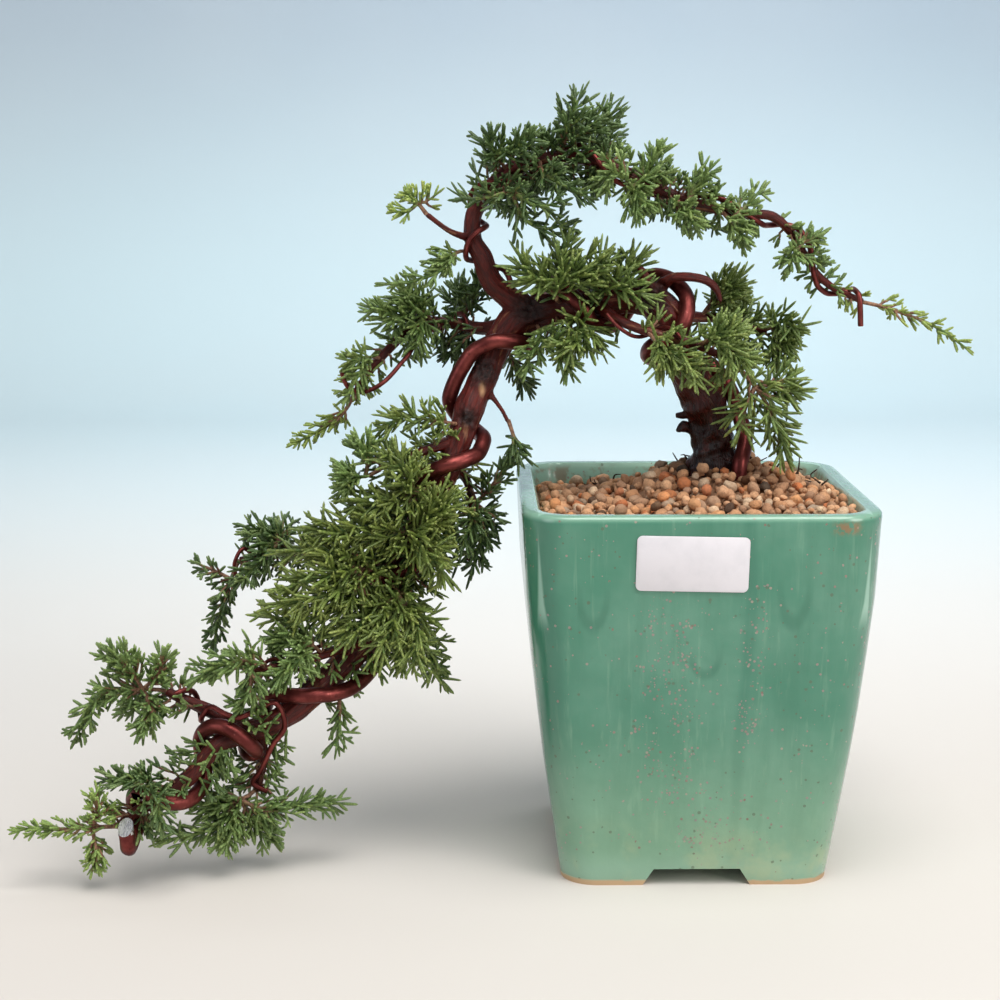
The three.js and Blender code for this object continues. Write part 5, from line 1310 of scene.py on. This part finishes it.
def bark_relief(points, grain, scar, dark_foot):
    """How far the skin is raised: ridges along the grain, rough knots, and knobs at the dark foot."""
    lift = np.empty(len(points))
    for k, g in enumerate(grain):
        ridge = noise.noise(Vector((g[0] * 0.62, g[1] * 0.62, g[2] * 0.55)))
        fine = noise.noise(Vector((g[0] * 1.5 + 9, g[1] * 1.5, g[2] * 1.1)))
        lift[k] = RELIEF["ridge"] * ridge + RELIEF["fine"] * fine
    rough = np.array([noise.noise(Vector(p) * 0.55) for p in points]) * scar
    knobs = np.array([noise.noise(Vector(p) * 0.24) for p in points]) * dark_foot
    thick = np.clip(np.linalg.norm(grain[:, :2], axis=1) / 5, 0.15, 1.4)
    calm = 1 - RELIEF["calm_at_dark_foot"] * dark_foot
    return lift * thick * calm + rough * RELIEF["knot"] + knobs * RELIEF["knob"]


def make_trunk():
    trunk = tubes("wood", wood_lines(), 6)
    skin = trunk.modifiers.new("skin", "REMESH")
    skin.mode, skin.use_smooth_shade = "VOXEL", True
    skin.voxel_size = BARK_SKIN["fine" if SLOW else "coarse"] * MM
    ease = trunk.modifiers.new("ease", "SMOOTH")
    ease.factor, ease.iterations = 0.5, 2
    choose(trunk)
    bpy.ops.object.modifier_apply(modifier="skin")
    bpy.ops.object.modifier_apply(modifier="ease")
    mesh = trunk.data
    rows = vertices_of(mesh)
    points = (rows - np.array(PLACE)) / MM
    grain = bark_places(points)
    normals = np.empty(len(mesh.vertices) * 3)
    mesh.vertices.foreach_get("normal", normals)
    scar = scar_share(points)
    dark_foot = np.clip((DARK_FOOT["from_z"] - points[:, 2]) / DARK_FOOT["over"], 0, 1) * (points[:, 0] > DARK_FOOT["right_of"])
    lift = bark_relief(points, grain, scar, dark_foot)
    rows += normals.reshape(-1, 3) * (lift * MM)[:, None]
    mesh.vertices.foreach_set("co", rows.ravel())
    mesh.update()
    off = np.linalg.norm((points - PEELED["middle"]) / PEELED["size"], axis=1)
    flake = np.clip(1.5 - off * 1.5, 0, 1)
    set_vectors(mesh, "grain", grain)
    set_vectors(mesh, "marks", np.column_stack([scar, dark_foot, flake * 0.8]))
    settle(trunk, "bark_covered_wood", BARK)
    hand_over(trunk, "bark", "trunk")


# Wires

def clip_end(wire, line):
    """Cuts the loose end on the slant, as pliers do, with the cut face to the front."""
    end = np.array(PLACE) + line[-1, :3] * MM
    heading = unit(line[-1, :3] - line[-4, :3])
    slant = unit(heading + (-0.15, -0.95, 0))
    bpy.ops.object.mode_set(mode="EDIT")
    bpy.ops.mesh.select_all(action="DESELECT")
    bpy.ops.object.mode_set(mode="OBJECT")
    for v in wire.data.vertices:
        v.select = (v.co - Vector(end)).length < 9 * MM
    bpy.ops.object.mode_set(mode="EDIT")
    bpy.ops.mesh.bisect(plane_co=Vector(end - heading * 3.0 * MM), plane_no=Vector(slant), use_fill=True,
                        clear_outer=True)
    bpy.ops.object.mode_set(mode="OBJECT")


def make_wires():
    for name, line in wire_lines.items():
        radius = WIRES[name][1]
        fine = smooth(line, 1.0 if radius > 2 else 0.8)
        radii = np.full(len(fine), float(radius))
        radii[[0, -1]] *= 0.93
        wire = tubes(name + "_metal", [with_radius(fine, radii)], 6 if radius > 1.2 else 3)
        if name == "trunk_wire":
            clip_end(wire, fine)
        settle(wire, name + "_metal", COPPER, CUT_COPPER)
        for face in wire.data.polygons:
            if len(face.vertices) > 4:
                face.material_index = 1
        choose(wire)
        bpy.ops.object.shade_smooth_by_angle(angle=math.radians(50))
        hand_over(wire, "wire", name)


# Foliage

def leaf_cord():
    """One scaly leaf cord, a unit long and a unit thick."""
    bpy.ops.object.select_all(action="DESELECT")
    bpy.ops.mesh.primitive_circle_add(vertices=4, radius=0.9, fill_type="NOTHING")
    cord = bpy.context.object
    bpy.ops.object.mode_set(mode="EDIT")
    bpy.ops.mesh.select_all(action="SELECT")
    for step, wider in ((0.45, 1.14), (0.42, 0.76)):
        bpy.ops.mesh.extrude_region_move(TRANSFORM_OT_translate={"value": (0, 0, step)})
        bpy.ops.transform.resize(value=(wider, wider, 1))
    bpy.ops.mesh.extrude_region_move(TRANSFORM_OT_translate={"value": (0, 0, 0.13)})
    bpy.ops.mesh.merge(type="CENTER")
    face_outward()
    bpy.ops.mesh.quads_convert_to_tris()
    bpy.ops.object.mode_set(mode="OBJECT")
    points, faces = vertices_of(cord.data), np.array([p.vertices[:] for p in cord.data.polygons])
    bpy.data.objects.remove(cord)
    return points, faces


def at_lengths(path, places):
    """Points and headings at distances along a path."""
    steps = np.linalg.norm(np.diff(path, axis=0), axis=1)
    dist = np.concatenate([[0], np.cumsum(steps)])

    def at(where):
        return np.column_stack([np.interp(where, dist, path[:, k]) for k in range(3)])

    return at(places), unit(at(places + 0.6) - at(places - 0.6))


def whole_length(path):
    return np.linalg.norm(np.diff(path, axis=0), axis=1).sum()


def around(t, angles):
    """Ways that stand square on the headings, at the given turns."""
    up = np.where(np.abs(t[:, 2:]) < 0.9, (0, 0, 1.0), (1.0, 0, 0))
    u = unit(np.cross(up, t))
    v = np.cross(t, u)
    return u * np.cos(angles)[:, None] + v * np.sin(angles)[:, None]


def cords_along(path, start, length, lean, rng):
    """Rows for the leaf cords on one twig: root, way, bend, length, tone."""
    whole = whole_length(path)
    places = np.arange(start, whole - 0.4, CORD_SPACING)
    if not len(places):
        places = np.array([whole * 0.8])
    places = places + rng.uniform(-0.4, 0.4, len(places))
    point, t = at_lengths(path, places)
    share = np.clip(places / max(whole, 1), 0, 1)
    turns = rng.uniform(0, 6.28) + np.arange(len(places)) * GOLDEN_TURN + rng.normal(0, 0.35, len(places))
    side = around(t, turns)
    leans = np.radians(lean + rng.normal(0, 8, len(places)))[:, None]
    way = t * np.cos(leans) + side * np.sin(leans)
    reach = length * rng.uniform(0.62, 1.18, len(places)) * (1 - 0.3 * share ** 2)
    end_point, end_t = at_lengths(path, np.full(END_CORDS, whole - 0.3))
    end_side = around(end_t, rng.uniform(0, 6.28) + np.arange(END_CORDS) * 2.6)
    end_way = unit(end_t + end_side * rng.uniform(0.02, 0.5, END_CORDS)[:, None])
    point, way = np.vstack([point, end_point]), np.vstack([way, end_way])
    t = np.vstack([t, end_t])
    reach = np.concatenate([reach, length * rng.uniform(0.6, 0.95, END_CORDS)])
    bend = unit(np.cross(way, rng.normal(0, 1, t.shape)) + (t - way * (t * way).sum(-1)[:, None]))
    tone = np.clip(rng.normal(0.5, 0.24) * 0.5 + rng.random(len(reach)) * 0.55, 0, 1)
    rows = np.column_stack([point, way, bend, reach, tone])
    return np.vstack([rows, forks(rows, rng)])


def forks(rows, rng):
    """Side cords that leave some of the cords part of the way up."""
    chosen = rows[(rng.random(len(rows)) < FORKED_SHARE) & (rows[:, 9] > 3.4)]
    out = chosen.copy()
    share = rng.uniform(0.3, 0.6, len(chosen))
    side = around(chosen[:, 3:6], rng.uniform(0, 6.28, len(chosen)))
    out[:, :3] += chosen[:, 3:6] * (chosen[:, 9] * share)[:, None]
    lean = np.radians(rng.uniform(32, 50, len(chosen)))[:, None]
    out[:, 3:6] = chosen[:, 3:6] * np.cos(lean) + side * np.sin(lean)
    out[:, 6:9] = unit(chosen[:, 3:6] - out[:, 3:6] * (chosen[:, 3:6] * out[:, 3:6]).sum(-1)[:, None])
    out[:, 9] *= (1 - share) * rng.uniform(0.75, 1.0, len(chosen))
    return out


def clothe(name, length, lean, rng):
    """Short shoots that leave the wood all round a branch: their lines and leaf cord rows."""
    lines, rows = [], []
    for spray, host, low, high, many, longest in CLOTHING:
        if spray != name:
            continue
        points = np.array(WOOD[host], float)
        marks = np.arange(len(points))
        for j in range(many):
            place = low + (high - low) * (j + rng.uniform(0, 1)) / many
            here, ahead, behind = (np.array([np.interp(place + off, marks, points[:, k]) for k in range(4)])
                                   for off in (0, 0.3, -0.3))
            t = unit(ahead[:3] - behind[:3])[None]
            turn = j * GOLDEN_TURN + rng.uniform(0, 1)
            long = longest * rng.uniform(0.35, 0.85)
            for go in range(6):
                side = around(t, np.array([turn + go * 1.1]))[0]
                way = unit(side + t[0] * rng.uniform(0.1, 0.8))
                root = here[:3] + side * here[3] * 0.5
                skin = here[:3] + side * (here[3] + 0.9)
                end = skin + way * long
                probe = np.array([skin + way * 1.6, skin + way * max(2.4, long * 0.6), end])
                if bars.gap(probe, HARD)[0].min() > 0.9 and off_pot(probe).min() > 1.2:
                    break
            else:
                continue
            shoot = smooth([root, skin, (skin + end) / 2 + t[0] * 0.3, end], 1.5)[:, :3]
            lines.append(with_radius(shoot, np.linspace(0.5, 0.4, len(shoot))))
            inside = np.linalg.norm(skin - root)
            rows.append(cords_along(shoot, inside + 0.3, length * 0.95, lean, rng))
    return lines, rows


def side_shoots(path, start, shoots, reach, length, lean, rng):
    """Shoots that leave a stem on all sides: their lines and leaf cord rows."""
    whole = whole_length(path)
    lines, rows = [], []
    many = int(shoots * SHOOTS_PER_LISTED + 0.5)
    turn = rng.uniform(0, 6.28)
    for j in range(many):
        share = ((j + rng.uniform(0.1, 0.9)) / many) ** 1.25
        place = np.array([start + (whole - start) * (0.02 + 0.9 * share)])
        p, t = at_lengths(path, place)
        long = reach * rng.uniform(0.3, 0.72) * (1 - 0.55 * share)
        for go in range(9):
            side = around(t, np.array([turn + j * GOLDEN_TURN + go * 0.7]))[0]
            way = unit(side + t[0] * rng.uniform(0.7, 1.05))
            middle = p[0] + way * long * 0.5
            end = p[0] + way * long + t[0] * long * 0.18 + (0, 0, long * 0.04)
            probe = np.array([p[0] + way * 2.2, middle, (middle + end) / 2, end])
            if bars.gap(probe, HARD)[0].min() > 1.0 and off_pot(probe).min() > 1.2:
                break
        else:
            continue
        shoot = smooth([p[0], middle, end], 2)[:, :3]
        lines.append(with_radius(shoot, np.linspace(0.5, 0.4, len(shoot))))
        rows.append(cords_along(shoot, 1.2, length * 0.92, lean, rng))
    return lines, rows


def grow_spray(name, tone, parts, rng):
    """The twig lines and leaf cord rows of one spray."""
    node = "foliage_" + name
    _, length, thick, lean = LEAF_TONES[tone]
    length *= LONG_LEAVED.get(name, 1)
    lines, rows, base = [], [], None
    for number, (shoots, reach, points) in enumerate(parts):
        path = smooth([base, *points] if number else points, 2.5)[:, :3]
        path = bend_clear(path, STEM_RADIUS, node, number == 0)
        wood_gap = bars.gap(path, bars.keep(lambda other: other == "trunk"))[0].min(axis=1)
        start = 3.0
        if number == 0:
            base = path[np.linalg.norm(path - points[1], axis=1).argmin()]
            inside = int(np.argmax(wood_gap > 1.2))
            start = whole_length(path[:inside + 1]) + 1.2
        bars.take(path, STEM_RADIUS, node)
        lines.append(with_radius(path, np.linspace(STEM_RADIUS, 0.45, len(path))))
        rows.append(cords_along(path, start, length, lean, rng))
        more_lines, more_rows = side_shoots(path, start, shoots, reach, length, lean, rng)
        lines, rows = lines + more_lines, rows + more_rows
    more_lines, more_rows = clothe(name, length, lean, rng)
    lines = lines + more_lines
    rows = np.vstack(rows + more_rows)
    steps = np.linspace(0.15, 1.0, 5)[None, :, None]
    probes = rows[:, None, :3] + rows[:, None, 3:6] * rows[:, None, 9:10] * steps
    flat = probes.reshape(-1, 3)
    clear = np.minimum(bars.clearance(flat, HARD), off_pot(flat)).reshape(-1, 5).min(axis=1)
    return lines, rows[clear > thick + 0.12]


def make_foliage():
    shape, sides = leaf_cord()
    for number, (name, (tone, *parts)) in enumerate(SPRAYS.items()):
        node = "foliage_" + name
        rng = np.random.RandomState(FIRST_SPRAY_SEED + SPRAY_SEED_STEP * number)
        slot, _, thick, _ = LEAF_TONES[tone]
        lines, rows = grow_spray(name, tone, parts, rng)
        many = len(rows)
        way, bend, reach = rows[:, 3:6], rows[:, 6:9], rows[:, 9:10]
        across = np.cross(way, bend)
        radius = thick * rng.uniform(0.86, 1.14, (many, 1))
        curl = rng.uniform(0.0, 0.09, (many, 1)) * reach
        x = shape[None, :, 0] * radius + curl * shape[None, :, 2] ** 2
        y = shape[None, :, 1] * radius
        z = shape[None, :, 2] * reach
        made = (rows[:, None, :3] + x[..., None] * bend[:, None] + y[..., None] * across[:, None]
                + z[..., None] * way[:, None])
        faces = (sides[None] + (np.arange(many) * len(shape))[:, None, None]).reshape(-1, 3)
        along = np.broadcast_to(shape[None, :, 2], x.shape)
        fresh = np.clip(rows[:, 10:11] + PALER.get(name, 0), 0, 1) + np.zeros(x.shape)
        olive = OLIVE.get(name, USUAL_OLIVE) + rng.normal(0, 0.12, (many, 1))
        olive = np.clip(olive, 0, 1) + np.zeros(x.shape)
        cords = new_mesh(node + "_cords", made.reshape(-1, 3) * MM + np.array(PLACE), faces)
        set_vectors(cords.data, "leaf", np.stack([along, fresh, olive], -1).reshape(-1, 3))
        coat(cords, LEAVES[tone])
        twigs = tubes(node + "_twigs", lines, 1, caps=False)
        places = (vertices_of(twigs.data) - np.array(PLACE)) / MM
        root, tip = lines[0][0, :3], lines[0][-1, :3]
        grown = np.linalg.norm(places - root, axis=1) / max(np.linalg.norm(tip - root), 1)
        set_vectors(twigs.data, "leaf",
                    np.column_stack([grown * 0, grown * 0, np.clip(grown * 0.75, 0, 1)]))
        coat(twigs, TWIG)
        choose(cords, twigs)
        bpy.ops.object.join()
        cords.name = cords.data.name = name + "_spray"
        hand_over(cords, slot, node)


# Floor

def make_floor():
    """A pale sweep: flat under the tree, curving up well behind it."""
    flat, bend, reach = SWEEP["flat"], SWEEP["round"], SWEEP["reach"]
    profile = [(-reach, 0), (flat, 0)]
    for k in range(1, SWEEP["steps"] + 1):
        a = math.radians(90 * k / SWEEP["steps"])
        profile.append((flat + bend * math.sin(a), bend * (1 - math.cos(a))))
    profile.append((flat + bend, reach))
    points = np.array([(x, y, z) for y, z in profile for x in (-reach, reach)])
    faces = np.array([(2 * k, 2 * k + 1, 2 * k + 3, 2 * k + 2) for k in range(len(profile) - 1)])
    floor = new_mesh("floor_sweep", points, faces)
    coat(floor, FLOOR)


make_floor()
make_pot()
make_label()
coat(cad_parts["drain_screen"], PLASTIC)
make_soil()
make_trunk()
make_wires()
make_foliage()
